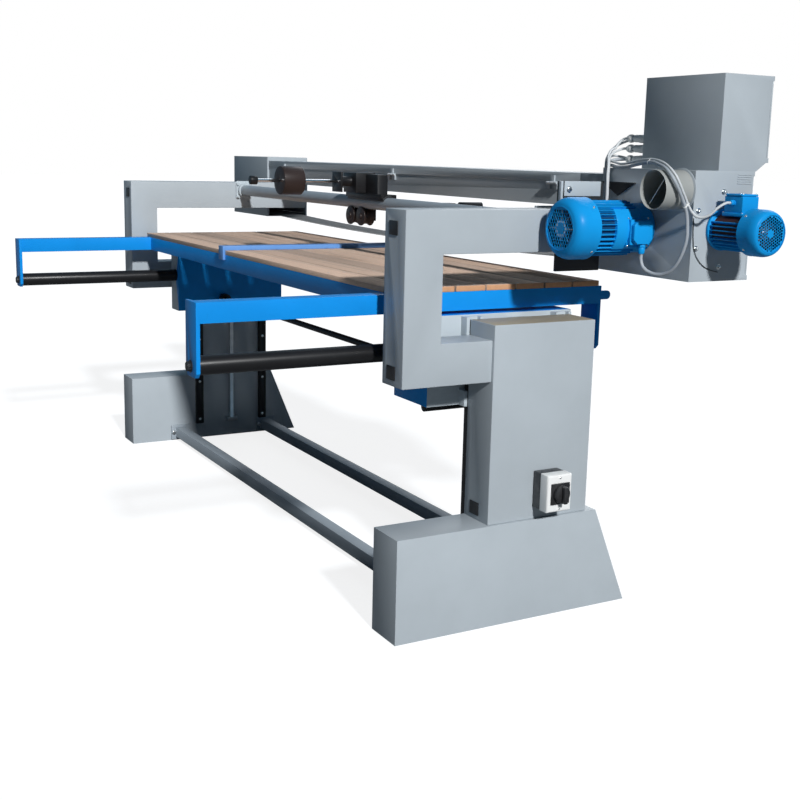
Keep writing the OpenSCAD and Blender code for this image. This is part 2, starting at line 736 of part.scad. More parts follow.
// Trough that carries the upper run of the belt across the two arms.
module belt_guard_beam() {
    t = guard_t;
    color([0.66, 0.71, 0.74]) place() {
        difference() {
            block([guard_x0, guard_y0, c_top], [guard_x1, guard_y1, cover_z]);
            block([guard_x0 - 1, guard_y0 + t, c_top + t], [guard_x1 + 1, guard_y1 - t, cover_z + 1]);
        }
        // Fixed cap beside the drive housing, where the cables pass over the beam
        difference() {
            block([guard_x0, guard_y0 - 3, cover_z], [cover_x0, guard_y1 + 3, guard_top]);
            block([guard_x0 - 1, guard_y0 + t, cover_z - 1], [cover_x0 + 1, guard_y1 - t, guard_top - 2]);
        }
        for (x = cover_hinges) {
            rod_x(pin_r, x - hinge_half, x + hinge_half, hinge_y, hinge_z);
            for (side = [-1, 1]) translate([x + side * (hinge_half + leaf_half + gap) / 2, 0, 0]) {
                rod_x(knuckle_r, -(hinge_half - leaf_half - gap) / 2, (hinge_half - leaf_half - gap) / 2,
                    hinge_y, hinge_z);
                block([-(hinge_half - leaf_half - gap) / 2, guard_y1, hinge_z - 22],
                    [(hinge_half - leaf_half - gap) / 2, hinge_y, hinge_z]);
            }
        }
    }
}

knuckle_r = 5;
pin_r = 2;
hinge_y = guard_y1 + 8;
hinge_z = cover_z - 3;
cover_hinges = [guard_x1 - 210, (guard_x0 + guard_x1) / 2 + 31, guard_x0 + 274];
hinge_half = 30;
leaf_half = 11.7;
module beam_cover() {
    t = 2;
    color([0.66, 0.71, 0.74]) place() {
        difference() {
            block([cover_x0 + gap, guard_y0 - 3, cover_z + gap], [guard_x1 - 2, guard_y1 + 3, guard_top]);
            block([cover_x0 - 1, guard_y0 - 3 + t, cover_z - 1], [guard_x1 - 1, guard_y1 + 3 - t, guard_top - t]);
        }
        for (x = cover_hinges) difference() {
            union() {
                rod_x(knuckle_r, x - leaf_half, x + leaf_half, hinge_y, hinge_z);
                block([x - leaf_half, guard_y1 + 2.5, hinge_z], [x + leaf_half, hinge_y, cover_z + 22]);
            }
            rod_x(pin_r + fit, x - hinge_half, x + hinge_half, hinge_y, hinge_z);
        }
    }
}

// Housings

module drive_housing_outline(t) {
    difference() {
        translate([-drive_house_out + t, drive_house_z0 + t])
            square([drive_house_out + house_throat_u - 2 * t, drive_house_h - 2 * t]);
    }
}

door_t = 2;
door_gap = 1;
module drive_housing() {
    t = house_t;
    color([0.62, 0.67, 0.7]) at_end(-1) difference() {
        union() {
            difference() {
                along_y(house_y0 + door_t + door_gap, house_y1) drive_housing_outline(0);
                along_y(house_y0 - 1, house_y1 - t) drive_housing_outline(t);
            }
            block([partition_u - 3, house_y0 + 12, drive_house_z0 + t], [partition_u, house_y1 - t, housing_top - t]);
            door_frame(-drive_house_out, house_throat_u, house_y0, drive_house_z0, housing_top);
            housing_gusset(-63, house_throat_u, mount_z1);
        }
        rod_x(50, partition_u - 10, partition_u + 10, fan_axis_y, fan_axis_z);
        rod_x(fan_hole_r, -drive_house_out - 1, -drive_house_out + t + 1, fan_axis_y, fan_axis_z);
        rod_y(duct_d / 2 - 3, house_y1 - t - 1, house_y1 + 1, duct_u, duct_z);
        rod_y(shaft_r + 8, house_y1 - t - 1, house_y1 + 1, motor_u, pulley_z);
        // Mouths for the upper and lower runs of the belt
        block([house_throat_u - t - 1, guard_y0 + guard_t, c_top + guard_t],
            [house_throat_u + 1, guard_y1 - guard_t, housing_top - 25]);
        block([house_throat_u - t - 1, belt_y - belt_w / 2 - 12, max(drive_house_z0 + t, pulley_z - belt_r - 24)],
            [house_throat_u + 1, belt_y + belt_w / 2 + 12, pulley_z - belt_r + 18]);
    }
}
fan_hole_r = 40;

// Folded stiffener on the back wall, a narrow shelf over a triangular web
module housing_gusset(u0, u1, z) {
    block([u0, house_y1 - 1, z - 5], [u1, house_y1 + 8, z]);
    along_y(house_y1 - 1, house_y1 + 4) polygon([[u0, z], [u1, z], [(u0 + u1) / 2, z - 43]]);
}

// Top and bottom strip around a door, with the two lugs in which its pin turns.
module door_frame(u0, u1, y, z0, z1) {
    for (z = [z0, z1 - door_strip]) difference() {
        union() {
            block([u0, y, z], [u1, y + door_t + door_gap, z + door_strip]);
            block([u0, y - 2 - lug_pin, z], [u0 + gap + 2 * door_pin_r + 2, y + 0.5, z + door_strip]);
        }
        rod_z(door_pin_r + fit, z - 1, z + door_strip + 1, u0 + gap + door_pin_r, y - door_pin_r + 1);
    }
}

lug_pin = 5;
door_strip = 14;

// Door with its origin at the pin's lower corner, between the strips
module door_sheet(w, h) {
    cube([w, door_t, h]);
    translate([w - 46, -18, h / 2 - 45]) {
        cube([12, 18, 12]);
        translate([0, 0, 78]) cube([12, 18, 12]);
        cube([12, 6, 90]);
    }
    translate([door_pin_r, -door_pin_r + 1, -door_strip + 2]) cylinder(r = door_pin_r, h = h + 2 * door_strip - 4);
}

door_pin_r = 3;
module drive_housing_door() {
    w = drive_house_out + house_throat_u - 2 * gap;
    color([0.62, 0.67, 0.7]) at_end(-1) {
        translate([-drive_house_out + gap, house_y0, drive_house_z0 + door_strip + gap])
            door_sheet(w, drive_house_h - 2 * door_strip - 2 * gap);
    }
}

module idler_housing() {
    t = house_t;
    u0 = arm_inset - idler_house_len;
    color([0.62, 0.67, 0.7]) at_end(1) difference() {
        union() {
            difference() {
                block([u0, house_y0 + door_t + door_gap, idler_house_z0], [arm_inset, house_y1, housing_top]);
                block([u0 + t, house_y0 - 1, idler_house_z0 + t], [arm_inset - t, house_y1 - t, housing_top - t]);
            }
            door_frame(u0, arm_inset, house_y0, idler_house_z0, housing_top);
        }
        block([arm_inset - t - 1, guard_y0 + guard_t, c_top + guard_t], [arm_inset + 1, guard_y1 - guard_t, housing_top - 25]);
        block([arm_inset - t - 1, guard_y0, idler_house_z0 + t], [arm_inset + 1, guard_y1, pulley_z - belt_r + 28]);
    }
}

module idler_housing_door() {
    w = idler_house_len - 2 * gap;
    color([0.62, 0.67, 0.7]) at_end(1) {
        translate([arm_inset - idler_house_len + gap, house_y0, idler_house_z0 + door_strip + gap])
            door_sheet(w, idler_house_h - 2 * door_strip - 2 * gap);
    }
}

// Dust outlet pipe with its flange
module dust_outlet() {
    r = duct_d / 2;
    color([0.62, 0.63, 0.62]) at_end(-1) {
        difference() {
            union() {
                rod_y(r, house_y1, house_y1 + duct_len, duct_u, duct_z);
                rod_y(r + 1.5, house_y1 + duct_len - 44, house_y1 + duct_len - 38, duct_u, duct_z);
            }
            rod_y(r - 2, house_y1 - 1, house_y1 + duct_len + 1, duct_u, duct_z);
        }
        translate([duct_u, house_y1 + duct_len - 8, duct_z]) rotate([0, 45, 0]) cube([2 * r - 3, 4, 4], center = true);
    }
}

// Drive motor

mount_t = 10;
mount_y0 = motor_y0 + 70;
mount_y1 = motor_y0 + 240;
mount_z0 = drive_house_z0 + 6;
mount_z1 = 1405;
module motor_mount_plate() {
    u1 = arm_inset;
    color([0.3, 0.33, 0.36]) at_end(-1) {
        block([u1 - mount_t, mount_y0, mount_z0], [u1, mount_y1, mount_z1]);
        block([u1 - mount_t - 12, mount_y1 - 6, c_top + 30], [u1 - mount_t, mount_y1, mount_z1]);
    }
}

body_r = drive_motor_r - 9;
shield_r = body_r - 8;
shield_l = 64;
cowl_l = 88;
body_y0 = motor_y0 + 2;
body_y1 = motor_y1 - cowl_l + 30;
fin_n = 34;
fin_y0 = motor_y0 + shield_l;
pad_l = 93;
pad_half_h = 60;
module drive_motor_body() {
    color([0.09, 0.5, 0.93]) at_end(-1) {
        difference() {
            union() {
                rod_y(body_r - 12, body_y0, body_y1, motor_u, pulley_z);
                rod_y(shield_r, body_y0, fin_y0, motor_u, pulley_z);
                rod_y(drive_motor_r - cowl_t, cowl_y0 + 4, cowl_y0 + 18, motor_u, pulley_z);
                for (i = [0 : fin_n - 1]) translate([motor_u, fin_y0, pulley_z]) rotate([0, i * 360 / fin_n, 0])
                    translate([0, 0, -1.5]) cube([body_r, cowl_y0 + 10 - fin_y0, 3]);
                // Smooth pad among the fins, under the terminal box
                intersection() {
                    rod_y(body_r, fin_y0, fin_y0 + pad_l, motor_u, pulley_z);
                    block([motor_u - 2 * body_r, fin_y0, pulley_z - pad_half_h],
                        [motor_u, fin_y0 + pad_l, pulley_z + pad_half_h]);
                }
            }
            rod_y(body_r - 24, body_y0 + 14, body_y1 - 8, motor_u, pulley_z);
            rod_y(shaft_r + fit, body_y0 - 1, body_y1 + 1, motor_u, pulley_z);
            block([motor_u - 2 * body_r, tbox_y - tbox_w / 2 - gap, tbox_z - tbox_h / 2 - gap],
                [tbox_seat, tbox_y + tbox_w / 2 + gap, tbox_z + tbox_h / 2 + gap]);
        }
        for (y = [mount_y0 + 6, cowl_y0 - 44])
            difference() {
                block([motor_u + body_r - 22, y, pulley_z - 70], [arm_inset - mount_t, y + 34, pulley_z + 70]);
                rod_y(body_r - 12, y - 1, y + 35, motor_u, pulley_z);
            }
    }
}

cowl_y0 = motor_y1 - cowl_l;
cowl_t = 2.5;
module cowl(r, l, vent_r) {
    // Fan cowl along +Z with its mouth at z = 0, a long round shoulder and vents in its flat end
    end_r = 0.7 * r;
    function shoulder(t) = [for (a = [0 : 10 : 90]) [end_r + (r - end_r - t) * cos(a), l / 2 + (l / 2 - t) * sin(a)]];
    difference() {
        rotate_extrude() difference() {
            polygon(concat([[0, 0], [r, 0]], shoulder(0), [[0, l]]));
            polygon(concat([[0, -1], [r - cowl_t, -1]], shoulder(cowl_t), [[0, l - cowl_t]]));
        }
        for (a = [0 : 60 : 300], k = [0 : 2]) rotate(a + 20 * k % 60)
            translate([vent_r * (0.34 + 0.27 * k), 0, l - 5]) cylinder(r = vent_r * 0.1, h = 10, $fn = 20);
    }
}

module drive_motor_cowl() {
    color([0.09, 0.5, 0.93]) at_end(-1) translate([motor_u, cowl_y0, pulley_z]) rotate([-90, 0, 0])
        cowl(drive_motor_r, cowl_l, 66);
}

// Terminal box on the side of the drive motor that faces away from the arm
tbox_seat = motor_u - body_r + 18;
tbox_y = motor_y0 + 73.5;
tbox_z = pulley_z - 8;
tbox_w = 83;
tbox_h = 90;
tbox_gland = [tbox_seat - 27, motor_y0 + 68];
module octagon_box(w, h, l, cut) {
    linear_extrude(l) polygon([[-w / 2 + cut, -h / 2], [w / 2 - cut, -h / 2], [w / 2, -h / 2 + cut], [w / 2, h / 2 - cut],
        [w / 2 - cut, h / 2], [-w / 2 + cut, h / 2], [-w / 2, h / 2 - cut], [-w / 2, -h / 2 + cut]]);
}

module drive_motor_terminal_box() {
    color([0.09, 0.5, 0.93]) at_end(-1) {
        block([tbox_seat - 12, tbox_y - tbox_w / 2, tbox_z - tbox_h / 2],
            [tbox_seat, tbox_y + tbox_w / 2, tbox_z + tbox_h / 2]);
        block([tbox_seat - 25, tbox_y - 38, tbox_z - 38], [tbox_seat - 11, tbox_y + 38, tbox_z + 38]);
        translate([tbox_seat - 24.5, tbox_y, tbox_z - 2]) rotate([0, -90, 0]) octagon_box(70, 72, 15.5, 14);
        rod_z(11, tbox_z - 48, tbox_z - 36, tbox_gland[0], tbox_gland[1]);
        rod_z(7.5, tbox_z - 64, tbox_z - 47, tbox_gland[0], tbox_gland[1]);
    }
}

module drive_motor_rotor() {
    color([0.6, 0.61, 0.63]) at_end(-1) {
        rod_y(shaft_r, belt_y - 36, motor_y1 - 20, motor_u, pulley_z);
        difference() {
            union() {
                rod_y(26, body_y1 + 6, body_y1 + 50, motor_u, pulley_z);
                for (a = [0 : 45 : 315]) translate([motor_u, body_y1 + 8, pulley_z]) rotate([0, a, 0])
                    translate([20, 0, -1.5]) cube([body_r - 32, 40, 3]);
            }
            rod_y(shaft_r + fit, body_y1, body_y1 + 60, motor_u, pulley_z);
        }
    }
}

// Fan motor

fan_u0 = -drive_house_out;
fan_body_l = 132;
fan_cowl_l = 70;
fan_flange_r = 62;
fan_body_r = fan_motor_r - 8;
module fan_motor_body() {
    color([0.09, 0.5, 0.93]) at_end(-1) difference() {
        union() {
            rod_x(fan_flange_r, fan_u0 - 12, fan_u0, fan_axis_y, fan_axis_z);
            rod_x(fan_body_r - 10, fan_u0 - 12 - fan_body_l, fan_u0 - 12, fan_axis_y, fan_axis_z);
            rod_x(fan_motor_r - cowl_t, fan_u0 - 10 - fan_body_l, fan_u0 - fan_body_l, fan_axis_y, fan_axis_z);
            for (i = [0 : 23]) translate([fan_u0 - fan_body_l + 1, fan_axis_y, fan_axis_z]) rotate([i * 15, 0, 0])
                translate([0, 0, -1.25]) cube([fan_body_l - 13, fan_body_r, 2.5]);
        }
        rod_x(fan_body_r - 20, fan_u0 - fan_body_l - 2, fan_u0 - 26, fan_axis_y, fan_axis_z);
        rod_x(9 + fit, fan_u0 - fan_body_l - 20, fan_u0 + 1, fan_axis_y, fan_axis_z);
        block([fan_u0 - 114 - gap, fan_axis_y - 36 - gap, fan_box_z],
            [fan_u0 - 34 + gap, fan_axis_y + 36 + gap, fan_axis_z + 90]);
    }
}

module fan_motor_cowl() {
    color([0.09, 0.5, 0.93]) at_end(-1) translate([fan_u0 - fan_motor_len + fan_cowl_l, fan_axis_y, fan_axis_z])
        rotate([0, -90, 0]) cowl(fan_motor_r, fan_cowl_l, 48);
}

fan_box_z = fan_axis_z + fan_body_r - 16;
module fan_motor_terminal_box() {
    color([0.09, 0.5, 0.93]) at_end(-1) {
        block([fan_u0 - 114, fan_axis_y - 36, fan_box_z], [fan_u0 - 34, fan_axis_y + 36, fan_box_z + 10]);
        block([fan_u0 - 110, fan_axis_y - 32, fan_box_z + 9], [fan_u0 - 38, fan_axis_y + 32, fan_box_z + 57]);
        block([fan_u0 - 111, fan_axis_y - 33, fan_box_z + 57], [fan_u0 - 37, fan_axis_y + 33, fan_box_z + 64]);
        rod_y(9, fan_axis_y + 32, fan_axis_y + 45, fan_u0 - 74, fan_box_z + 38);
    }
}

module fan_motor_rotor() {
    color([0.6, 0.61, 0.63]) at_end(-1) {
        rod_x(9, fan_u0 - fan_motor_len + 20, fan_u0 + 60, fan_axis_y, fan_axis_z);
        difference() {
            union() {
                rod_x(18, fan_u0 - fan_motor_len + 24, fan_u0 - fan_motor_len + 54, fan_axis_y, fan_axis_z);
                for (a = [0 : 45 : 315]) translate([fan_u0 - fan_motor_len + 26, fan_axis_y, fan_axis_z]) rotate([a, 0, 0])
                    translate([0, 14, -1.5]) cube([26, 32, 3]);
            }
            rod_x(9 + fit, fan_u0 - fan_motor_len + 20, fan_u0 - fan_motor_len + 60, fan_axis_y, fan_axis_z);
        }
    }
}

impeller_r = 88;
module dust_impeller() {
    u0 = fan_u0 + house_t + 14;
    color([0.5, 0.52, 0.54]) at_end(-1) difference() {
        union() {
            rod_x(impeller_r, u0, u0 + 3, fan_axis_y, fan_axis_z);
            rod_x(20, u0 + 3, u0 + 40, fan_axis_y, fan_axis_z);
            for (a = [0 : 45 : 315]) translate([u0 + 2, fan_axis_y, fan_axis_z]) rotate([a, 0, 0])
                translate([0, 16, -1.5]) cube([46, impeller_r - 18, 3]);
        }
        rod_x(9 + fit, u0 - 1, u0 + 50, fan_axis_y, fan_axis_z);
    }
}

// Electrical cabinet and controls

chamfer_y = 41;
chamfer_z = 26;
module electrical_cabinet() {
    z0 = housing_top;
    t = 2;
    color([0.62, 0.67, 0.7]) at_end(-1) {
        door_frame(cabinet_u0, cabinet_u1, cabinet_y0, z0 + chamfer_z, cabinet_top);
        difference() {
            along_x(cabinet_u0, cabinet_u1) polygon([[cabinet_y1, z0], [cabinet_y1, cabinet_top],
                [cabinet_y0 + door_t + door_gap, cabinet_top], [cabinet_y0 + door_t + door_gap, z0 + chamfer_z],
                [cabinet_y0 + chamfer_y, z0]]);
            block([cabinet_u0 + t, cabinet_y0 - 1, z0 + chamfer_z + 10], [cabinet_u1 - t, cabinet_y1 - t, cabinet_top - t]);
        }
    }
}

panel_y = cabinet_y0;
button_us = [-60, -120, -200];
button_h = 190;
button_z = housing_top + button_h;
button_r = 11;
module cabinet_door() {
    color([0.62, 0.67, 0.7]) at_end(-1) {
        difference() {
            block([cabinet_u0 + gap, panel_y, housing_top + chamfer_z + door_strip + gap],
                [cabinet_u1 - gap, panel_y + door_t, cabinet_top - door_strip - gap]);
            for (u = button_us) rod_y(button_r + fit, panel_y - 1, panel_y + door_t + 1, u, button_z);
        }
        rod_z(door_pin_r, housing_top + chamfer_z + 2, cabinet_top - 2, cabinet_u0 + gap + door_pin_r,
            panel_y - door_pin_r + 1);
        rod_y(10, panel_y - 8, panel_y + 0.5, cabinet_u1 - 24, housing_top + 130);
        block([cabinet_u1 - 28, panel_y - 12, housing_top + 118], [cabinet_u1 - 20, panel_y - 7, housing_top + 142]);
    }
}

module start_button() {
    color([0.1, 0.6, 0.2]) at_end(-1) {
        rod_y(button_r, panel_y - 9, panel_y + 20, button_us[0], button_z);
    }
}

module emergency_stop() {
    color([0.8, 0.08, 0.06]) at_end(-1) {
        rod_y(button_r, panel_y - 14, panel_y + 24, button_us[2], button_z);
        rod_y(20, panel_y - 26, panel_y - 12, button_us[2], button_z);
    }
}

module lift_switch() {
    color([0.08, 0.08, 0.09]) at_end(-1) {
        rod_y(button_r, panel_y - 10, panel_y + 20, button_us[1], button_z);
        block([button_us[1] - 4, panel_y - 20, button_z - 14], [button_us[1] + 4, panel_y - 8, button_z + 14]);
    }
}

module cable_glands() {
    color([0.92, 0.92, 0.9]) at_end(-1) for (r = gland_rows, c = gland_cols) {
        hex_x(25, cabinet_u1, cabinet_u1 + 10, cabinet_y1 - c, housing_top + r);
        rod_x(12, cabinet_u1 + 9, cabinet_u1 + gland_body, cabinet_y1 - c, housing_top + r);
        rod_x(8, cabinet_u1 + gland_body - 1, cabinet_u1 + gland_body + gland_neck + 1, cabinet_y1 - c, housing_top + r);
        rod_x(12.5, cabinet_u1 + gland_body + gland_neck, cabinet_u1 + gland_len - 7, cabinet_y1 - c, housing_top + r);
        rod_x(9, cabinet_u1 + gland_len - 8, cabinet_u1 + gland_len, cabinet_y1 - c, housing_top + r);
    }
}

// Isolator on the outer face of the drive end column
iso_setback0 = 497;
iso_w = 94;
iso_z0 = 375;
iso_h = 121;
iso_base_d = 40;
iso_d = 81;
iso_knob_r = 29;
module isolator_box() {
    y1 = yb(iso_setback0);
    u = column_u0;
    color([0.93, 0.94, 0.94]) at_end(-1) difference() {
        union() {
            block([u - iso_base_d, y1 - iso_w + 1, iso_z0 + 1], [u, y1 - 1, iso_z0 + iso_h - 1]);
            block([u - iso_d, y1 - iso_w, iso_z0], [u - iso_base_d, y1, iso_z0 + iso_h]);
            block([u - iso_d - 6, y1 - iso_w / 2 - 35, iso_z0 + iso_h / 2 - 34],
                [u - iso_d, y1 - iso_w / 2 + 35, iso_z0 + iso_h / 2 + 34]);
        }
        rod_x(8 + fit, u - iso_d - 7, u - iso_d + 20, y1 - iso_w / 2, iso_z0 + iso_h / 2);
    }
}

module isolator_knob() {
    y = yb(iso_setback0) - iso_w / 2;
    z = iso_z0 + iso_h / 2;
    u = column_u0 - iso_d - 6;
    color([0.05, 0.05, 0.05]) at_end(-1) {
        rod_x(8, u - 11, u + 24, y, z);
        rod_x(iso_knob_r, u - 14, u - gap, y, z);
        block([u - 30, y - 7, z - 27], [u - 12, y + 7, z + 27]);
    }
}

// Cables

module drive_motor_lead() {
    color([0.55, 0.6, 0.64]) at_end(-1) swept_tube(motor_lead_route, motor_lead_d);
}

module fan_motor_lead() {
    color([0.62, 0.66, 0.7]) at_end(-1) swept_tube(fan_lead_route, thin_lead_d);
}

module cabinet_cables() {
    color([0.62, 0.66, 0.7]) at_end(-1) for (r = arm_cable_routes) swept_tube(r, thin_lead_d);
}

// Pressure carriage

module carriage_guide_tube() {
    color([0.6, 0.64, 0.68]) place() difference() {
        rod_x(guide_r, guide_x0 + 8, guide_x1 - 8, guide_y, guide_z);
        rod_x(guide_r - 5, guide_x0, guide_x1, guide_y, guide_z);
    }
}

bracket_s = 82;
module guide_tube_brackets() {
    color([0.72, 0.75, 0.78]) both_ends() difference() {
        union() {
            block([arm_u1, guide_y - bracket_s / 2, guide_z - bracket_s / 2],
                [arm_u1 + 8, guide_y + bracket_s / 2, guide_z + 46]);
            rod_x(guide_r + 8, arm_u1 + 8, arm_u1 + 30, guide_y, guide_z);
            for (s = [-1, 1], h = [-1, 1]) hex_x(13, arm_u1 + 8, arm_u1 + 15, guide_y + s * 33, guide_z + h * 31);
        }
        rod_x(guide_r + fit, arm_u1 + 8, arm_u1 + 31, guide_y, guide_z);
    }
}

// Half shell that slides along the tube and on which the lever turns.
module carriage_saddle() {
    color([0.25, 0.26, 0.27]) place() intersection() {
        difference() {
            rod_x(guide_r + saddle_t, saddle_x0, saddle_x1, guide_y, guide_z);
            rod_x(guide_r + fit, saddle_x0 - 1, saddle_x1 + 1, guide_y, guide_z);
        }
        block([saddle_x0, guide_y - 26, guide_z + 12], [saddle_x1, guide_y + 26, guide_z + 60]);
    }
}

saddle_r = guide_r + saddle_t;
block_y0 = guide_y - 20;
block_y1 = guide_y + 25;
sleeve_y0 = guide_y + 69;
sleeve_y1 = guide_y + 130;
cheek_y = guide_y - 28;
cheek_t = 12;
block_mid = carriage_x + 5;
module carriage_block() {
    color([0.07, 0.07, 0.08]) place() difference() {
        union() {
            block([saddle_x0, guide_y - 34, guide_z + 22], [saddle_x1, guide_y + 34, block_z0 + 6]);
            block([carriage_x - 100, block_y0, block_z0], [block_mid, block_y1, block_z1]);
            block([block_mid, block_y0, block_z0 + 8], [block_mid + 113, sleeve_y0, block_z1 + 5]);
            // Sleeve of the counterweight rod with its end plate
            rod_y(20, sleeve_y0 - 1, sleeve_y1, lever_x, lever_z);
            block([lever_x - 42, sleeve_y1 - 8, lever_z - 43], [lever_x + 40, sleeve_y1, lever_z + 37]);
            // Cheeks that hold the lower rollers
            for (x = roller_xs) block([x - 18, cheek_y - cheek_t, roller_z - 18], [x + 18, cheek_y, block_z0]);
        }
        rod_x(saddle_r + fit, saddle_x0 - 1, saddle_x1 + 1, guide_y, guide_z);
        rod_y(rod_r + fit, sleeve_y0 - 60, sleeve_y1 + 1, lever_x, lever_z);
        for (x = roller_xs) rod_y(roller_axle_r + fit, cheek_y - cheek_t - 1, cheek_y + 1, x, roller_z);
    }
}

roller_xs = [carriage_x + 50, carriage_x + 145];
roller_r = 38;
roller_axle_r = 7;
module carriage_roller(x) {
    difference() {
        union() {
            rod_y(roller_r, guide_y - 24, guide_y + 24, x, roller_z);
            rod_y(roller_axle_r, cheek_y - cheek_t - 4, guide_y + 24, x, roller_z);
            rod_y(12, guide_y + 23, guide_y + 29, x, roller_z);
        }
        translate([x, guide_y, roller_z]) rotate([90, 0, 0]) rotate_extrude()
            translate([roller_z_offset, 0]) circle(r = guide_r + gap);
    }
}
roller_z_offset = guide_z - roller_z;

module drive_side_roller() {
    color([0.1, 0.09, 0.09]) place() carriage_roller(roller_xs[0]);
}

module idler_side_roller() {
    color([0.1, 0.09, 0.09]) place() carriage_roller(roller_xs[1]);
}

module counterweight_rod() {
    color([0.78, 0.79, 0.8]) place() {
        rod_y(rod_r, sleeve_y0 - 58, rod_back + 1, lever_x, lever_z);
        rod_y(17, rod_back, rod_back + 28, lever_x, lever_z);
    }
}

module counterweight() {
    color([0.12, 0.1, 0.1]) place() difference() {
        rod_y(weight_d / 2, weight_y - weight_len / 2, weight_y + weight_len / 2, lever_x, lever_z);
        rod_y(rod_r + fit, weight_y - weight_len, weight_y + weight_len, lever_x, lever_z);
    }
}

// Arm from the block over the belt to the operator's handle
pad_t = 16;
pad_pin_r = 6;
pad_pin_z = pad_z0 + pad_t + 16;
lug_w = 30;
lug_round = 12;
arm_z0 = pad_pin_z + 28;
arm_w_c = 50;
arm_back_y0 = guide_y - 58;
arm_back_y1 = guide_y - 34;
module pressure_arm() {
    x0 = carriage_x - arm_w_c / 2;
    x1 = carriage_x + arm_w_c / 2;
    color([0.07, 0.07, 0.08]) place() {
        block([x0, pad_y - 90, arm_z0], [x1, arm_back_y0 + 12, arm_z0 + 24]);
        block([x0, arm_back_y0, arm_z0], [x1, arm_back_y1, block_z0 + 60]);
        block([x0, arm_back_y1 - 1, block_z0 + 20], [x1, block_y0, block_z0 + 60]);
        difference() {
            block([x0, pad_y - 14, pad_pin_z - 9], [x1, pad_y + 14, arm_z0 + 1]);
            block([carriage_x - lug_w / 2 - 0.5, pad_y - 15, pad_pin_z - 10],
                [carriage_x + lug_w / 2 + 0.5, pad_y + 15, arm_z0 - 1]);
        }
        rod_x(pad_pin_r, x0, x1, pad_y, pad_pin_z);
        rod_y(9, handle_y + 100, pad_y - 89, carriage_x, arm_z0 + 12);
        rod_y(16, handle_y, handle_y + 110, carriage_x, arm_z0 + 12);
    }
}

// Pad that presses the lower run, free to level itself on its pin
pad_w = belt_w - 10;
module pressure_pad() {
    color([0.18, 0.18, 0.2]) place() difference() {
        union() {
            block([carriage_x - pad_len / 2, pad_y - pad_w / 2, pad_z0],
                [carriage_x + pad_len / 2, pad_y + pad_w / 2, pad_z0 + pad_t]);
            block([carriage_x - lug_w / 2, pad_y - 10, pad_z0 + pad_t - 1], [carriage_x + lug_w / 2, pad_y + 10, pad_pin_z]);
            rod_x(lug_round, carriage_x - lug_w / 2, carriage_x + lug_w / 2, pad_y, pad_pin_z);
        }
        rod_x(pad_pin_r + fit, carriage_x - lug_w, carriage_x + lug_w, pad_y, pad_pin_z);
    }
}

feet();
columns();
drive_end_c_frame();
idler_end_c_frame();
frame_plugs();
foot_stretchers();
frame_bolts();
lift_guide_rails();
lift_screws();
belt_guard_beam();
beam_cover();
carriage_guide_tube();
guide_tube_brackets();
drive_housing();
drive_housing_door();
idler_housing();
idler_housing_door();
motor_mount_plate();
drive_motor_body();
drive_motor_cowl();
drive_motor_terminal_box();
drive_motor_rotor();
drive_pulley();
dust_outlet();
fan_motor_body();
fan_motor_cowl();
fan_motor_terminal_box();
fan_motor_rotor();
dust_impeller();
tension_rails();
tension_fork();
tension_screw();
idler_pulley();
sanding_belt();
electrical_cabinet();
cabinet_door();
start_button();
emergency_stop();
lift_switch();
cable_glands();
isolator_box();
isolator_knob();
drive_motor_lead();
fan_motor_lead();
cabinet_cables();
carriage_saddle();
carriage_block();
drive_side_roller();
idler_side_roller();
counterweight_rod();
counterweight();
pressure_arm();
pressure_pad();
table_frame();
table_slats();
table_guide_tubes();
stop_bar();
lift_carriages();
lift_drive();
lift_cross_shaft();
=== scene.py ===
"""Long stroke belt sander: visible pieces, finishes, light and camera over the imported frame."""
import logging
import math
from contextlib import contextmanager
from dataclasses import dataclass
from enum import Enum
from typing import Callable, Iterator, Sequence

import bpy
from mathutils import Matrix, Vector


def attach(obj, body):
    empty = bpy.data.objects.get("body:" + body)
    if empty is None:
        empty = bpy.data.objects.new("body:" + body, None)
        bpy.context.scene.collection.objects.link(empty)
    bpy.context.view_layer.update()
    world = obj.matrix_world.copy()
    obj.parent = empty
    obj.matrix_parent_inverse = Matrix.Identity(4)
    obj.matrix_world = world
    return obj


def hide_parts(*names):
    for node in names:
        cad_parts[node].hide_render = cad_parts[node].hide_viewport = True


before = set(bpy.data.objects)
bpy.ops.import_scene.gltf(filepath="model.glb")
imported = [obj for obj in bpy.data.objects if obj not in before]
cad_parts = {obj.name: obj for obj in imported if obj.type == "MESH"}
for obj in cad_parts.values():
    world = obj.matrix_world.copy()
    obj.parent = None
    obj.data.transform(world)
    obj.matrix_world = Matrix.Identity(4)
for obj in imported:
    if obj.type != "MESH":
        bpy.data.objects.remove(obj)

LOG = logging.getLogger("stroke_sander")
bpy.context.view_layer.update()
Triple = tuple[float, float, float]
Object = bpy.types.Object
Material = bpy.types.Material
Socket = bpy.types.NodeSocket
Face = bpy.types.MeshPolygon


class End(Enum):
    """The two ends of the machine along X."""

    DRIVE = -1
    IDLER = 1


class Axis(Enum):
    """Direction in which a turned or rod-shaped piece points."""

    X = "x"
    Y = "y"
    Z = "z"
    MINUS_X = "-x"
    MINUS_Y = "-y"


UP = Vector((0, 0, 1))
OUTWARD = Vector((-1, 0, 0))  # away from the machine at its drive end
BACKWARD = Vector((0, 1, 0))  # away from the operator
TURN: dict[Axis, Matrix] = {
    Axis.Z: Matrix.Identity(4),
    Axis.X: Matrix.Rotation(math.pi / 2, 4, "Y"),
    Axis.MINUS_X: Matrix.Rotation(-math.pi / 2, 4, "Y"),
    Axis.Y: Matrix.Rotation(-math.pi / 2, 4, "X"),
    Axis.MINUS_Y: Matrix.Rotation(math.pi / 2, 4, "X"),
}

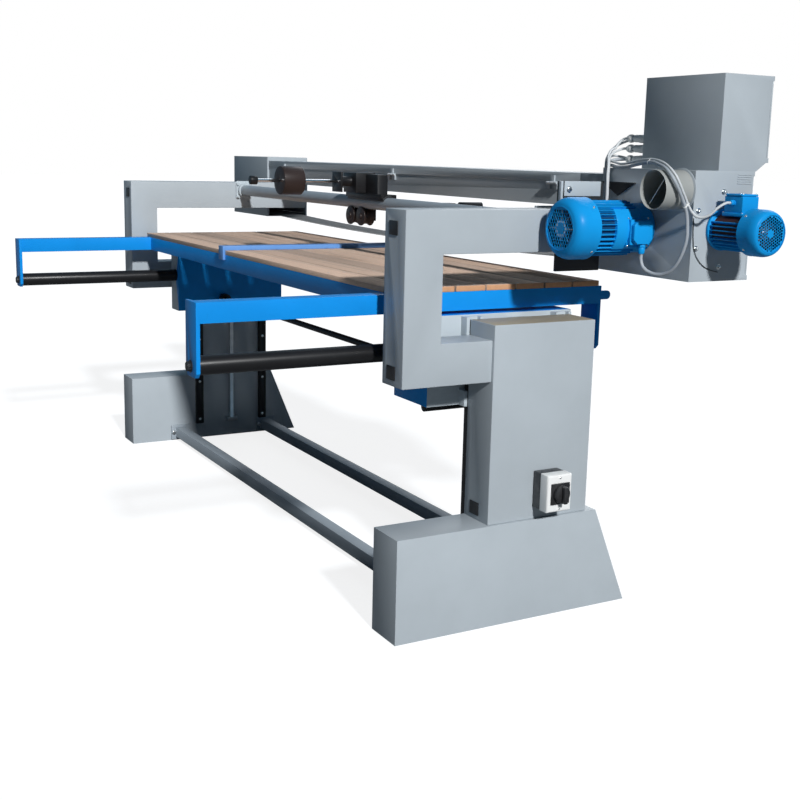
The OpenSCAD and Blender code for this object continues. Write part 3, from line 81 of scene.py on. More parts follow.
HALF_SPAN_MM = 1450.0  # from the middle of the feet to a foot's outer face
MIDDLE_MM = 31.5  # X of the middle of the feet
BACK_MM = 285.0  # Y of the back end of the feet
MM = 0.001


def at(end: End, inward: float, setback: float, height: float) -> Vector:
    """Turns a drawing place at one end into the row frame.

    Args:
        end: The end of the machine that the place is measured from.
        inward: Distance inwards from the foot's outer face, in mm.
        setback: Distance towards the operator from the back of the feet, in mm.
        height: Height above the floor, in mm.

    Returns:
        The point in metres.
    """
    return along(end.value * (HALF_SPAN_MM - inward), setback, height)


def drive(inward: float, setback: float, height: float) -> Vector:
    """Returns the point in metres for a drawing place at the drive end."""
    return at(End.DRIVE, inward, setback, height)


def along(x: float, setback: float, height: float) -> Vector:
    """Returns the point in metres for a distance in mm from the middle of the two feet."""
    return Vector((x + MIDDLE_MM, BACK_MM - setback, height)) * MM


# Materials


def toned(colour: Triple, factor: float) -> Triple:
    """Returns a colour made lighter or darker by a factor."""
    return tuple(min(1.0, part * factor) for part in colour)


class Graph:
    """Node graph of a material or world, with short calls that add and link its nodes."""

    def __init__(self, tree: bpy.types.NodeTree) -> None:
        """Takes a graph and empties it.

        Args:
            tree: The material's or world's node tree.
        """
        self.nodes = tree.nodes
        self.links = tree.links
        self.nodes.clear()

    def feed(self, socket: Socket, value: object) -> None:
        """Links a socket to another one, or sets it to a plain value; a colour may lack its alpha."""
        if isinstance(value, Socket):
            self.links.new(value, socket)
        elif isinstance(value, tuple) and len(value) == 3 and socket.type == "RGBA":
            socket.default_value = (*value, 1.0)
        elif value is not None:
            socket.default_value = value

    def node(self, kind: str, inputs: dict[str | int, object] | None = None, **settings: str
             ) -> bpy.types.Node:
        """Adds a node.

        Args:
            kind: Its type, without the leading ShaderNode.
            inputs: Values or sockets for its inputs, by name or number.
            settings: Its own properties.

        Returns:
            The node.
        """
        made = self.nodes.new("ShaderNode" + kind)
        for name, value in settings.items():
            setattr(made, name, value)
        for name, value in (inputs or {}).items():
            self.feed(made.inputs[name], value)
        return made

    def mix(self, share: object, first: object, second: object, blend: str = "MIX") -> Socket:
        """Returns two colours blended by a share from 0 to 1."""
        made = self.node("Mix", data_type="RGBA", blend_type=blend)
        for number, value in ((0, share), (6, first), (7, second)):
            self.feed(made.inputs[number], value)
        return made.outputs[2]

    def math(self, work: str, first: object, second: object = 0.0) -> Socket:
        """Returns the result of one arithmetic step on two values."""
        return self.node("Math", {0: first, 1: second}, operation=work).outputs[0]


class Recipe(Graph):
    """Graph of one material that reads the object's own coordinates."""

    def __init__(self, name: str) -> None:
        """Starts an empty graph with one surface shader.

        Args:
            name: The material's name.
        """
        self.material = bpy.data.materials.new(name)
        self.material.use_nodes = True
        super().__init__(self.material.node_tree)
        self.shader = self.node("BsdfPrincipled")
        self.node("OutputMaterial", {0: self.shader.outputs[0]})
        self.place = self.node("TexCoord").outputs["Object"]

    def stretch(self, scale: Triple) -> Socket:
        """Returns the object coordinates scaled."""
        return self.node("Mapping", {"Vector": self.place, "Scale": scale}).outputs[0]

    def noise(self, scale: float, detail: float = 3.0, rough: float = 0.5, where: Socket | None = None,
              twist: float = 0.0) -> Socket:
        """Returns a noise pattern's grey value.

        Args:
            scale: Waves per metre.
            detail: Number of finer layers.
            rough: Strength of the finer layers.
            where: Coordinates to read, or the object's own.
            twist: Distortion of the pattern.

        Returns:
            The socket with the pattern.
        """
        return self.node("TexNoise", {"Scale": scale, "Detail": detail, "Roughness": rough,
                                      "Distortion": twist, "Vector": where or self.place}).outputs["Fac"]

    def cells(self, scale: float) -> Socket:
        """Returns the distance to the nearest cell centre of a cell pattern."""
        return self.node("TexVoronoi", {"Scale": scale, "Vector": self.place}).outputs["Distance"]

    def fade(self, value: Socket, low: float, high: float, top: float = 1.0) -> Socket:
        """Returns a grey that rises from 0 at low to top at high, and is level outside them."""
        made = self.node("ValToRGB", {0: value})
        for stop, place, grey in zip(made.color_ramp.elements, (low, high), (0.0, top)):
            stop.position = place
            stop.color = (grey, grey, grey, 1.0)
        return made.outputs[0]

    def split(self, vector: Socket | None = None) -> bpy.types.bpy_prop_collection:
        """Returns the X, Y and Z parts of a vector, or of the object coordinates."""
        return self.node("SeparateXYZ", {0: vector or self.place}).outputs

    def facing(self) -> bpy.types.bpy_prop_collection:
        """Returns the X, Y and Z parts of the surface's own normal."""
        return self.split(self.node("TexCoord").outputs["Normal"])

    def spread(self, value: Socket, low: float, high: float) -> Socket:
        """Returns a 0 to 1 value spread over another range."""
        return self.node("MapRange", {0: value, "To Min": low, "To Max": high}).outputs[0]

    def bump(self, height: Socket, strength: float, depth: float, under: Socket | None = None) -> Socket:
        """Adds a relief to the shader and returns its normal.

        Args:
            height: Pattern of the relief.
            strength: Share of the relief that shows.
            depth: Depth of the relief in metres.
            under: Another relief's normal to lay this one over.

        Returns:
            The new normal.
        """
        made = self.node("Bump", {"Strength": strength, "Distance": depth, "Height": height, "Normal": under})
        self.feed(self.shader.inputs["Normal"], made.outputs[0])
        return made.outputs[0]

    def surface(self, **values: object) -> Material:
        """Sets or links the shader's sockets by name, with spaces written as underscores."""
        for name, value in values.items():
            self.feed(self.shader.inputs[name.replace("_", " ")], value)
        return self.material


@dataclass(frozen=True)
class Enamel:
    """Sprayed enamel on sheet or castings: faint orange peel, dull patches and dust in the tone."""

    name: str
    colour: Triple
    shade: float = 0.07
    roughness: float = 0.38
    peel: float = 260.0
    peel_depth: float = 0.00006
    coat: float = 0.06
    shine: float = 0.22
    grime: Triple = (0.12, 0.11, 0.1)
    grime_share: float = 0.05

    def material(self) -> Material:
        """Returns the material."""
        r = Recipe(self.name)
        broad = r.noise(2.6, 4.0, 0.6)
        cloud = r.noise(14.0, 5.0, 0.65, twist=0.4)
        tone = r.mix(r.fade(broad, 0.3, 0.7), toned(self.colour, 1 - self.shade),
                     toned(self.colour, 1 + self.shade * 0.7))
        specks = r.fade(r.noise(90.0, 6.0, 0.72), 0.6, 0.78)
        dirt = r.math("MULTIPLY", specks, r.math("MULTIPLY", cloud, self.grime_share * 2.4))
        tone = r.mix(dirt, tone, self.grime)
        r.bump(r.noise(self.peel, 2.0, 0.5), 0.5, self.peel_depth)
        rough = r.spread(cloud, self.roughness - 0.06, self.roughness + 0.09)
        return r.surface(Base_Color=tone, Roughness=rough, Coat_Weight=self.coat, Coat_Roughness=0.22,
                         Specular_IOR_Level=self.shine)


@dataclass(frozen=True)
class Steel:
    """Bare or plated metal with fine lines from the tool that made it."""

    name: str
    colour: Triple
    roughness: float = 0.3
    lines: Triple = (20.0, 900.0, 900.0)
    line_depth: float = 0.00002
    stain: float = 0.12

    def material(self) -> Material:
        """Returns the material."""
        r = Recipe(self.name)
        line = r.noise(1.0, 3.0, 0.6, r.stretch(self.lines))
        patch = r.noise(22.0, 5.0, 0.6)
        tone = r.mix(r.fade(patch, 0.38, 0.7), self.colour, toned(self.colour, 1 - self.stain * 2))
        rough = r.math("ADD", r.spread(line, self.roughness - 0.06, self.roughness + 0.08),
                       r.spread(patch, -0.04, 0.1))
        r.bump(line, 0.35, self.line_depth)
        return r.surface(Base_Color=tone, Roughness=rough, Metallic=1.0)


@dataclass(frozen=True)
class Moulded:
    """Moulded plastic or rubber with a fine matt grain."""

    name: str
    colour: Triple
    roughness: float = 0.5
    grain: float = 900.0
    grain_depth: float = 0.00003
    wear: float = 0.12

    def material(self) -> Material:
        """Returns the material."""
        r = Recipe(self.name)
        patch = r.noise(30.0, 4.0, 0.6)
        worn = tuple(min(1.0, c + (0.5 - c) * self.wear) for c in self.colour)
        tone = r.mix(r.fade(patch, 0.42, 0.75), self.colour, worn)
        r.bump(r.cells(self.grain), 0.35, self.grain_depth)
        rough = r.spread(patch, self.roughness - 0.07, self.roughness + 0.08)
        return r.surface(Base_Color=tone, Roughness=rough, Specular_IOR_Level=0.4)


@dataclass(frozen=True)
class SlatWood:
    """Planed softwood boards along X: weathered tops, warm sawn ends, growth rings and knots."""

    name: str = "slat_wood"
    pitch: float = 0.120571
    first: float = -0.590
    top: Triple = (0.78, 0.57, 0.455)
    weathered: Triple = (0.80, 0.65, 0.545)
    dark: Triple = (0.115, 0.08, 0.06)
    end: Triple = (0.66, 0.36, 0.2)

    def material(self) -> Material:
        """Returns the material."""
        r = Recipe(self.name)
        x, y, z = r.split()[:3]
        board = r.math("FLOOR", r.math("DIVIDE", r.math("SUBTRACT", y, self.first), self.pitch))
        luck = r.node("TexWhiteNoise", {"W": board}, noise_dimensions="1D").outputs["Value"]
        lengthwise = r.math("ADD", r.math("MULTIPLY", x, 1.3), r.math("MULTIPLY", luck, 37.0))
        run = r.node("CombineXYZ", {0: lengthwise, 1: r.math("MULTIPLY", y, 16.0),
                                    2: r.math("MULTIPLY", z, 16.0)}).outputs[0]
        sway = r.noise(1.1, 2.0, 0.5, run)
        rings = r.node("TexWave", {"Scale": 1.9, "Distortion": 7.5, "Detail": 3.0, "Detail Scale": 0.7,
                                   "Vector": run}, wave_type="BANDS", bands_direction="Y").outputs["Fac"]
        fibre = r.noise(9.0, 6.0, 0.7, r.stretch((3.0, 70.0, 70.0)))
        patch = r.noise(1.6, 5.0, 0.62, r.stretch((1.0, 3.0, 1.0)), twist=0.6)
        tone = r.mix(r.spread(patch, -0.1, 1.1), self.top, self.weathered)
        tone = r.mix(r.math("MULTIPLY", rings, 0.34), tone, self.dark)
        tone = r.mix(r.fade(fibre, 0.4, 0.72, 0.75), tone, toned(self.top, 0.62))
        tone = r.mix(r.fade(sway, 0.56, 0.74, 0.5), tone, self.dark)
        tint = r.mix(luck, (0.8, 0.78, 0.76), (1.2, 1.14, 1.08))
        tone = r.mix(1.0, tone, tint, "MULTIPLY")
        sawn = r.mix(r.noise(60.0, 5.0, 0.7), self.end, toned(self.end, 0.72))
        ends = r.math("GREATER_THAN", r.math("ABSOLUTE", r.facing()[0]), 0.6)
        tone = r.mix(ends, tone, sawn)
        under = r.bump(rings, 0.25, 0.0006)
        r.bump(fibre, 0.5, 0.0005, under)
        return r.surface(Base_Color=tone, Roughness=r.spread(fibre, 0.66, 0.85), Specular_IOR_Level=0.25)


@dataclass(frozen=True)
class AbrasiveCloth:
    """Sanding belt: woven cloth back inside, grains in glue outside, and its edges."""

    name: str
    colour: Triple
    grains: bool

    def material(self) -> Material:
        """Returns the material."""
        r = Recipe(self.name)
        patch = r.noise(7.0, 5.0, 0.65, r.stretch((0.5, 2.0, 2.0)))
        streak = r.noise(2.0, 4.0, 0.6, r.stretch((0.7, 60.0, 60.0)))
        tone = r.mix(r.spread(patch, -0.2, 1.2), self.colour, toned(self.colour, 0.72))
        tone = r.mix(r.math("MULTIPLY", streak, 0.35), tone, toned(self.colour, 1.5))
        if self.grains:
            r.bump(r.cells(1600.0), 0.8, 0.0003)
        else:
            weave = r.node("TexWave", {"Scale": 420.0, "Vector": r.place}, bands_direction="Y")
            r.bump(weave.outputs["Fac"], 0.4, 0.0002)
        return r.surface(Base_Color=tone, Roughness=0.72, Specular_IOR_Level=0.3)


@dataclass(frozen=True)
class Felt:
    """Graphite-coated cloth over felt: dark, with a soft sheen and fine fibres."""

    name: str = "graphite_felt"
    colour: Triple = (0.045, 0.045, 0.05)

    def material(self) -> Material:
        """Returns the material."""
        r = Recipe(self.name)
        fuzz = r.noise(800.0, 4.0, 0.7)
        tone = r.mix(fuzz, self.colour, toned(self.colour, 1.9))
        r.bump(fuzz, 0.6, 0.0004)
        return r.surface(Base_Color=tone, Roughness=0.8, Sheen_Weight=0.3, Sheen_Roughness=0.4)


FINISHES: dict[str, Enamel | Steel | Moulded | SlatWood | AbrasiveCloth | Felt] = {
    "grey": Enamel("grey_enamel", (0.405, 0.452, 0.487), roughness=0.36),
    "stretcher": Enamel("stretcher_enamel", (0.30, 0.345, 0.385), roughness=0.4),
    "blue": Enamel("bright_blue_enamel", (0.007, 0.265, 0.74), shade=0.1, roughness=0.32, shine=0.1,
                   coat=0.03, grime=(0.02, 0.05, 0.1), grime_share=0.08),
    "motor_blue": Enamel("motor_blue_enamel", (0.007, 0.29, 0.70), shade=0.12, roughness=0.34, coat=0.03,
                         shine=0.08, peel=420.0, peel_depth=0.00012, grime=(0.01, 0.05, 0.1),
                         grime_share=0.12),
    "groove_blue": Enamel("shaded_blue_enamel", (0.003, 0.05, 0.13), roughness=0.5, grime_share=0.1),
    # Dark reddish brown for the fan motor's casing between its fins: painted shade between the fins, with a
    # reddish tint.
    "groove_brown": Enamel("fin_gap_shade_maroon", (0.035, 0.008, 0.01), roughness=0.55, grime_share=0.1),
    "pale_blue": Enamel("stop_bar_enamel", (0.13, 0.30, 0.66), roughness=0.34, grime=(0.25, 0.25, 0.25),
                        grime_share=0.2),
    "bracket": Enamel("pale_bracket_enamel", (0.46, 0.52, 0.56), roughness=0.35),
    "tube": Enamel("guide_tube_enamel", (0.30, 0.345, 0.39), roughness=0.3, coat=0.2),
    "black": Enamel("black_enamel", (0.012, 0.012, 0.013), shade=0.2, roughness=0.36,
                    grime=(0.08, 0.075, 0.07), grime_share=0.3),
    "weight": Enamel("brown_black_enamel", (0.028, 0.018, 0.016), shade=0.2, roughness=0.42,
                     grime=(0.1, 0.09, 0.085), grime_share=0.3, coat=0.1),
    "dark": Enamel("dark_grey_enamel", (0.028, 0.03, 0.033), roughness=0.42, grime=(0.1, 0.1, 0.1),
                   grime_share=0.2),
    # Darker brownish grey for the tops of the columns.
    "dusty": Enamel("brownish_column_top", (0.36, 0.315, 0.235), shade=0.25, roughness=0.6,
                    grime=(0.2, 0.15, 0.1), grime_share=0.4),
    "duct": Enamel("duct_enamel", (0.33, 0.345, 0.335), roughness=0.4),
    "steel": Steel("turned_steel", (0.56, 0.57, 0.58)),
    "plated": Steel("zinc_plate", (0.72, 0.73, 0.72), roughness=0.24, stain=0.08),
    "chrome": Steel("rod_chrome", (0.8, 0.81, 0.82), roughness=0.12, lines=(200.0, 8.0, 200.0),
                    line_depth=0.000008, stain=0.03),
    "cast": Steel("pulley_aluminium", (0.6, 0.61, 0.62), roughness=0.42, lines=(60.0, 900.0, 60.0)),
    "white": Moulded("white_plastic", (0.8, 0.81, 0.8), roughness=0.45, wear=0.05),
    "panel_grey": Moulded("isolator_grey", (0.045, 0.05, 0.055), roughness=0.5),
    # Pale matt paint for the stainless hinge leaves: painted reflection of the sky.
    "nickel": Enamel("pale_reflection_enamel", (0.7, 0.74, 0.77), roughness=0.3, grime_share=0.02),
    "black_plastic": Moulded("black_plastic", (0.013, 0.013, 0.014), roughness=0.42, wear=0.04),
    "red": Moulded("red_plastic", (0.55, 0.012, 0.01), roughness=0.3, wear=0.03),
    "green": Moulded("green_plastic", (0.01, 0.3, 0.06), roughness=0.3, wear=0.03),
    "sheath": Moulded("cable_sheath", (0.37, 0.41, 0.45), roughness=0.46, grain=1400.0,
                      grain_depth=0.00001, wear=0.1),
    "thin_sheath": Moulded("thin_cable_sheath", (0.60, 0.63, 0.65), roughness=0.46, grain=1400.0,
                           grain_depth=0.00001, wear=0.1),
    "wood": SlatWood(),
    "cloth": AbrasiveCloth("belt_cloth_back", (0.47, 0.48, 0.49), False),
    "grit": AbrasiveCloth("belt_grit", (0.2, 0.13, 0.085), True),
    "belt_edge": AbrasiveCloth("belt_edge", (0.2, 0.13, 0.09), False),
    "felt": Felt(),
}


# The record's material slot of each finish that a made piece has
SLOTS: dict[str, str] = {
    "grey": "grey_paint", "bracket": "light_bracket", "motor_blue": "blue_paint", "black": "black_steel",
    "dark": "black_steel", "duct": "duct_steel", "steel": "steel", "plated": "steel", "nickel": "steel",
    "white": "white_plastic", "sheath": "white_plastic", "panel_grey": "black_plastic",
    "black_plastic": "black_plastic", "red": "red_plastic", "wood": "slat_wood", "cloth": "abrasive",
}


class Palette:
    """Every finish of the machine, made once and kept under its name."""

    def __init__(self) -> None:
        """Makes the materials."""
        for name, finish in FINISHES.items():
            setattr(self, name, finish.material())


# Mesh tools

EDGE_ANGLE = 35.0  # degrees from which the angle between two faces counts as an edge
HEX_ROW = 0.866  # distance between rows of hexagons one unit wide
SEAM = 0.00002  # metres within which the first and last ring of a closed profile are one


class Bench:
    """Makes and shapes meshes with Blender's own operators, and dresses them as pieces."""

    @staticmethod
    def only(*objects: Object) -> None:
        """Selects only these objects and makes the first one active."""
        bpy.ops.object.select_all(action="DESELECT")
        for obj in objects:
            obj.select_set(True)
        bpy.context.view_layer.objects.active = objects[0]

    @staticmethod
    @contextmanager
    def editing(obj: Object, mode: str = "FACE") -> Iterator[None]:
        """Opens an object in edit mode with nothing selected.

        Args:
            obj: The object to edit.
            mode: VERT, EDGE or FACE.

        Yields:
            Nothing.
        """
        Bench.only(obj)
        bpy.ops.object.mode_set(mode="EDIT")
        bpy.ops.mesh.select_mode(type=mode)
        bpy.ops.mesh.select_all(action="DESELECT")
        try:
            yield
        finally:
            bpy.ops.object.mode_set(mode="OBJECT")

    @staticmethod
    def outward(obj: Object, merge: float = 0.0) -> None:
        """Turns all faces outwards, after joining vertices that lie closer than merge metres."""
        with Bench.editing(obj, "VERT"):
            bpy.ops.mesh.select_all(action="SELECT")
            if merge > 0:
                bpy.ops.mesh.remove_doubles(threshold=merge)
            bpy.ops.mesh.normals_make_consistent(inside=False)

    @staticmethod
    def pick(obj: Object, test: Callable[[Face], bool]) -> None:
        """Selects the faces that pass a test, from an edit mode with nothing selected."""
        bpy.ops.object.mode_set(mode="OBJECT")
        for face in obj.data.polygons:
            face.select = test(face)
            for index in face.vertices if face.select else ():
                obj.data.vertices[index].select = True
        bpy.ops.object.mode_set(mode="EDIT")

    @staticmethod
    def settle(obj: Object, matrix: Matrix | None = None) -> Object:
        """Moves an object by a matrix and writes its place into its mesh."""
        if matrix is not None:
            obj.matrix_world = matrix @ obj.matrix_world
        Bench.only(obj)
        bpy.ops.object.transform_apply(location=True, rotation=True, scale=True)
        return obj

    @staticmethod
    def block(low: Sequence[float], high: Sequence[float], soft: float = 0.0, steps: int = 2) -> Object:
        """Adds a box between two corners, with its edges rounded.

        Args:
            low: One corner in metres.
            high: The other corner.
            soft: Radius of the rounded edges.
            steps: Faces across a rounded edge.

        Returns:
            The new object.
        """
        a, b = Vector(low), Vector(high)
        bpy.ops.mesh.primitive_cube_add(size=1.0, location=(a + b) / 2)
        obj = bpy.context.active_object
        obj.scale = [abs(b[i] - a[i]) for i in range(3)]
        Bench.settle(obj)
        if soft > 0:
            Bench.soften(obj, soft, steps)
        return obj

    @staticmethod
    def rod(start: Sequence[float], axis: Axis, radius: float, length: float, soft: float = 0.0,
            sides: int = 48, steps: int = 2) -> Object:
        """Adds a cylinder from a start point along an axis.

        Args:
            start: Centre of its first face, in metres.
            axis: Direction of its length.
            radius: Its radius.
            length: Its length.
            soft: Radius of its rounded rims.
            sides: Number of sides.
            steps: Faces across a rounded rim.

        Returns:
            The new object.
        """
        bpy.ops.mesh.primitive_cylinder_add(vertices=sides, radius=radius, depth=length,
                                            location=(0, 0, length / 2))
        obj = bpy.context.active_object
        Bench.settle(obj, Matrix.Translation(Vector(start)) @ TURN[axis])
        if soft > 0:
            Bench.soften(obj, soft, steps)
        return obj

    @staticmethod
    def turned(profile: Sequence[tuple[float, float]], start: Sequence[float], axis: Axis, sides: int = 64,
               close: bool = True) -> Object:
        """Draws a ring out along a profile, as on a lathe.

        Args:
            profile: Radius and distance along the axis of each ring, in metres.
            start: Place of the profile's zero.
            axis: Direction of the profile's axis.
            sides: Number of sides.
            close: Whether the first and last ring are filled.

        Returns:
            The new object.
        """
        radius, height = profile[0]
        bpy.ops.mesh.primitive_circle_add(vertices=sides, radius=radius, location=(0, 0, height),
                                          fill_type="NGON" if close else "NOTHING")
        obj = bpy.context.active_object
        Bench.settle(obj)
        with Bench.editing(obj, "VERT"):
            bpy.ops.mesh.select_all(action="SELECT")
            if close:
                bpy.ops.mesh.delete(type="ONLY_FACE")
                bpy.ops.mesh.select_all(action="SELECT")
            for (r0, z0), (r1, z1) in zip(profile, profile[1:]):
                bpy.ops.mesh.extrude_region_move(TRANSFORM_OT_translate={"value": (0, 0, z1 - z0)})
                bpy.ops.transform.resize(value=(r1 / r0, r1 / r0, 1.0), center_override=(0, 0, z1))
            if close:
                bpy.ops.mesh.edge_face_add()
                bpy.ops.object.mode_set(mode="OBJECT")
                for vertex in obj.data.vertices:
                    vertex.select = vertex.index < sides
                bpy.ops.object.mode_set(mode="EDIT")
                bpy.ops.mesh.edge_face_add()
        Bench.outward(obj)
        Bench.settle(obj, Matrix.Translation(Vector(start)) @ TURN[axis])
        return obj

    @staticmethod
    def tube(name: str, points: Sequence[Vector], thick: float, rounds: int) -> Object:
        """Draws a round cable along a row of points, with its handles still to be set.

        Args:
            name: Name of the object and its curve.
            points: The points in metres.
            thick: Diameter of the cable.
            rounds: Bevel resolution of its section.

        Returns:
            The linked curve object.
        """
        line = bpy.data.curves.new(name, "CURVE")
        line.dimensions = "3D"
        line.bevel_depth = thick / 2
        line.bevel_resolution = rounds
        spline = line.splines.new("BEZIER")
        spline.bezier_points.add(len(points) - 1)
        for knot, point in zip(spline.bezier_points, points):
            knot.co = point
            knot.handle_left_type = knot.handle_right_type = "AUTO"
        obj = bpy.data.objects.new(name, line)
        bpy.context.scene.collection.objects.link(obj)
        return obj

    @staticmethod
    def soften(obj: Object, width: float, steps: int = 2, angle: float = 32.0) -> Object:
        """Rounds the sharp edges of an object by a width in metres."""
        bevel = obj.modifiers.new("round", "BEVEL")
        bevel.width = width
        bevel.segments = steps
        bevel.limit_method = "ANGLE"
        bevel.angle_limit = math.radians(angle)
        bevel.use_clamp_overlap = True
        return Bench.fix(obj)

    @staticmethod
    def fix(obj: Object) -> Object:
        """Applies every modifier of an object."""
        Bench.only(obj)
        for name in [m.name for m in obj.modifiers]:
            bpy.ops.object.modifier_apply(modifier=name)
        return obj

    @staticmethod
    def cut(obj: Object, tool: Object) -> Object:
        """Cuts a tool's shape out of an object and removes the tool."""
        work = obj.modifiers.new("work", "BOOLEAN")
        work.operation = "DIFFERENCE"
        work.object = tool
        work.solver = "EXACT"
        Bench.fix(obj)
        bpy.data.objects.remove(tool, do_unlink=True)
        return obj

    @staticmethod
    def copy(obj: Object, matrix: Matrix) -> Object:
        """Returns a copy of an object with its own mesh, moved by a matrix."""
        Bench.only(obj)
        bpy.ops.object.duplicate(linked=False)
        return Bench.settle(bpy.context.active_object, matrix)

    @staticmethod
    def join(objects: Sequence[Object]) -> Object:
        """Joins objects into the first one."""
        Bench.only(*objects)
        if len(objects) > 1:
            bpy.ops.object.join()
        return objects[0]

    @staticmethod
    def ring(obj: Object, count: int, centre: Sequence[float], about: str,
             start: float = 0.0) -> Object:
        """Copies an object round an axis and joins the copies.

        Args:
            obj: The object, at its first place.
            count: Number of copies, the first included.
            centre: A point on the axis.
            about: X, Y or Z.
            start: Angle of the first copy in degrees.

        Returns:
            The joined object.
        """
        origin = Matrix.Translation(Vector(centre))
        made = [Bench.copy(obj, origin @ Matrix.Rotation(math.radians(start + 360 * k / count), 4, about)
                           @ origin.inverted()) for k in range(count)]
        bpy.data.objects.remove(obj, do_unlink=True)
        return Bench.join(made)

    @staticmethod
    def smooth(obj: Object) -> None:
        """Shades an object smooth, apart from its sharp edges."""
        Bench.only(obj)
        bpy.ops.object.shade_smooth_by_angle(angle=math.radians(EDGE_ANGLE))

    @staticmethod
    def dress(made: Object | list[Object], name: str, body: str, material: Material,
              stands_for: Sequence[str] = (), slot: str = "") -> Object:
        """Names and finishes a piece and fixes it to a body.

        Args:
            made: The finished mesh, or the meshes to join.
            name: The piece's name.
            body: The body it moves with.
            material: Its finish, unless it has one.
            stands_for: CAD nodes that it replaces.
            slot: The record's material slot; not used.

        Returns:
            The piece.
        """
        obj = Bench.join(made) if isinstance(made, list) else made
        obj.name = name
        obj.data.name = name
        if not obj.data.materials:
            obj.data.materials.append(material)
        Bench.smooth(obj)
        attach(obj, body)
        if stands_for:
            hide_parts(*stands_for)
        LOG.info("%s rides on %s with %d faces", name, body, len(obj.data.polygons))
        return obj

    @staticmethod
    def refine(node: str, soft: float, steps: int) -> Object:
        """Copies a CAD node's mesh, cleans it and rounds its edges.

        Args:
            node: The CAD node's name.
            soft: Radius of the rounded edges in metres, or 0.
            steps: Faces across a rounded edge.

        Returns:
            The new object, which isn't a piece yet.
        """
        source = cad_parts[node]
        obj = bpy.data.objects.new(f"{node}_fine", source.data.copy())
        bpy.context.scene.collection.objects.link(obj)
        obj.data.materials.clear()
        with Bench.editing(obj):
            bpy.ops.mesh.select_all(action="SELECT")
            bpy.ops.mesh.customdata_custom_splitnormals_clear()
            bpy.ops.mesh.remove_doubles(threshold=0.00001)
            bpy.ops.mesh.dissolve_limited(angle_limit=math.radians(0.4))
        if soft > 0:
            Bench.soften(obj, soft, steps, EDGE_ANGLE)
        return obj


@dataclass
class Assembly:
    """Part of the machine that makes its own pieces."""

    palette: Palette

    def piece(self, made: Object | list[Object], name: str, finish: str, *nodes: str, body: str = "frame"
              ) -> Object:
        """Finishes a made piece and fixes it to a body.

        Args:
            made: The finished mesh, or the meshes to join.
            name: The piece's name.
            finish: Its finish in the palette.
            nodes: CAD nodes that it replaces.
            body: The body it moves with.

        Returns:
            The piece.
        """
        return Bench.dress(made, name, body, getattr(self.palette, finish), nodes, SLOTS[finish])


@dataclass(frozen=True)
class Carried:
    """A CAD node whose shape is right: it keeps its form, with rounded edges and a finish.

    Attributes:
        node: The CAD node's name.
        finish: Its finish in the palette.
        body: The body it moves with.
        soft: Radius of its rounded edges in metres.
        steps: Faces across a rounded edge.
        other: A second finish.
        where: Says which faces have the second finish.
    """

    node: str
    finish: str = "grey"
    body: str = "frame"
    soft: float = 0.001
    steps: int = 2
    other: str = ""
    where: Callable[[Face], bool] | None = None


def on_column_top(face: Face) -> bool:
    """Says whether a face lies on top of a column."""
    column_top = 0.96
    return face.normal.z > 0.9 and face.center.z > column_top


def on_lift_plate(face: Face) -> bool:
    """Says whether a face is part of the bare plates and shoes beside a column."""
    foot_face, shoes, plates = 1.4185, 0.187, 0.2
    inwards = foot_face - abs(face.center.x)
    return inwards < shoes or (inwards < plates and abs(face.normal.x) > 0.9)


def on_rod_knob(face: Face) -> bool:
    """Says whether a face is part of the knob at the end of the counterweight's rod."""
    knob_start = 0.1628
    return face.center.y > knob_start


def on_gusset_shade(face: Face) -> bool:
    """Says whether a face is part of the web under the stiffener on the drive housing's back wall, which is
    painted dark as painted shade.
    """
    middle_x, half_width, wall_y, low, high = -1.4, 0.0835, -0.4993, 1.355, 1.406
    place = face.center
    return (abs(place.x - middle_x) < half_width and place.y > wall_y and low < place.z < high
            and face.normal.z < 0.9)


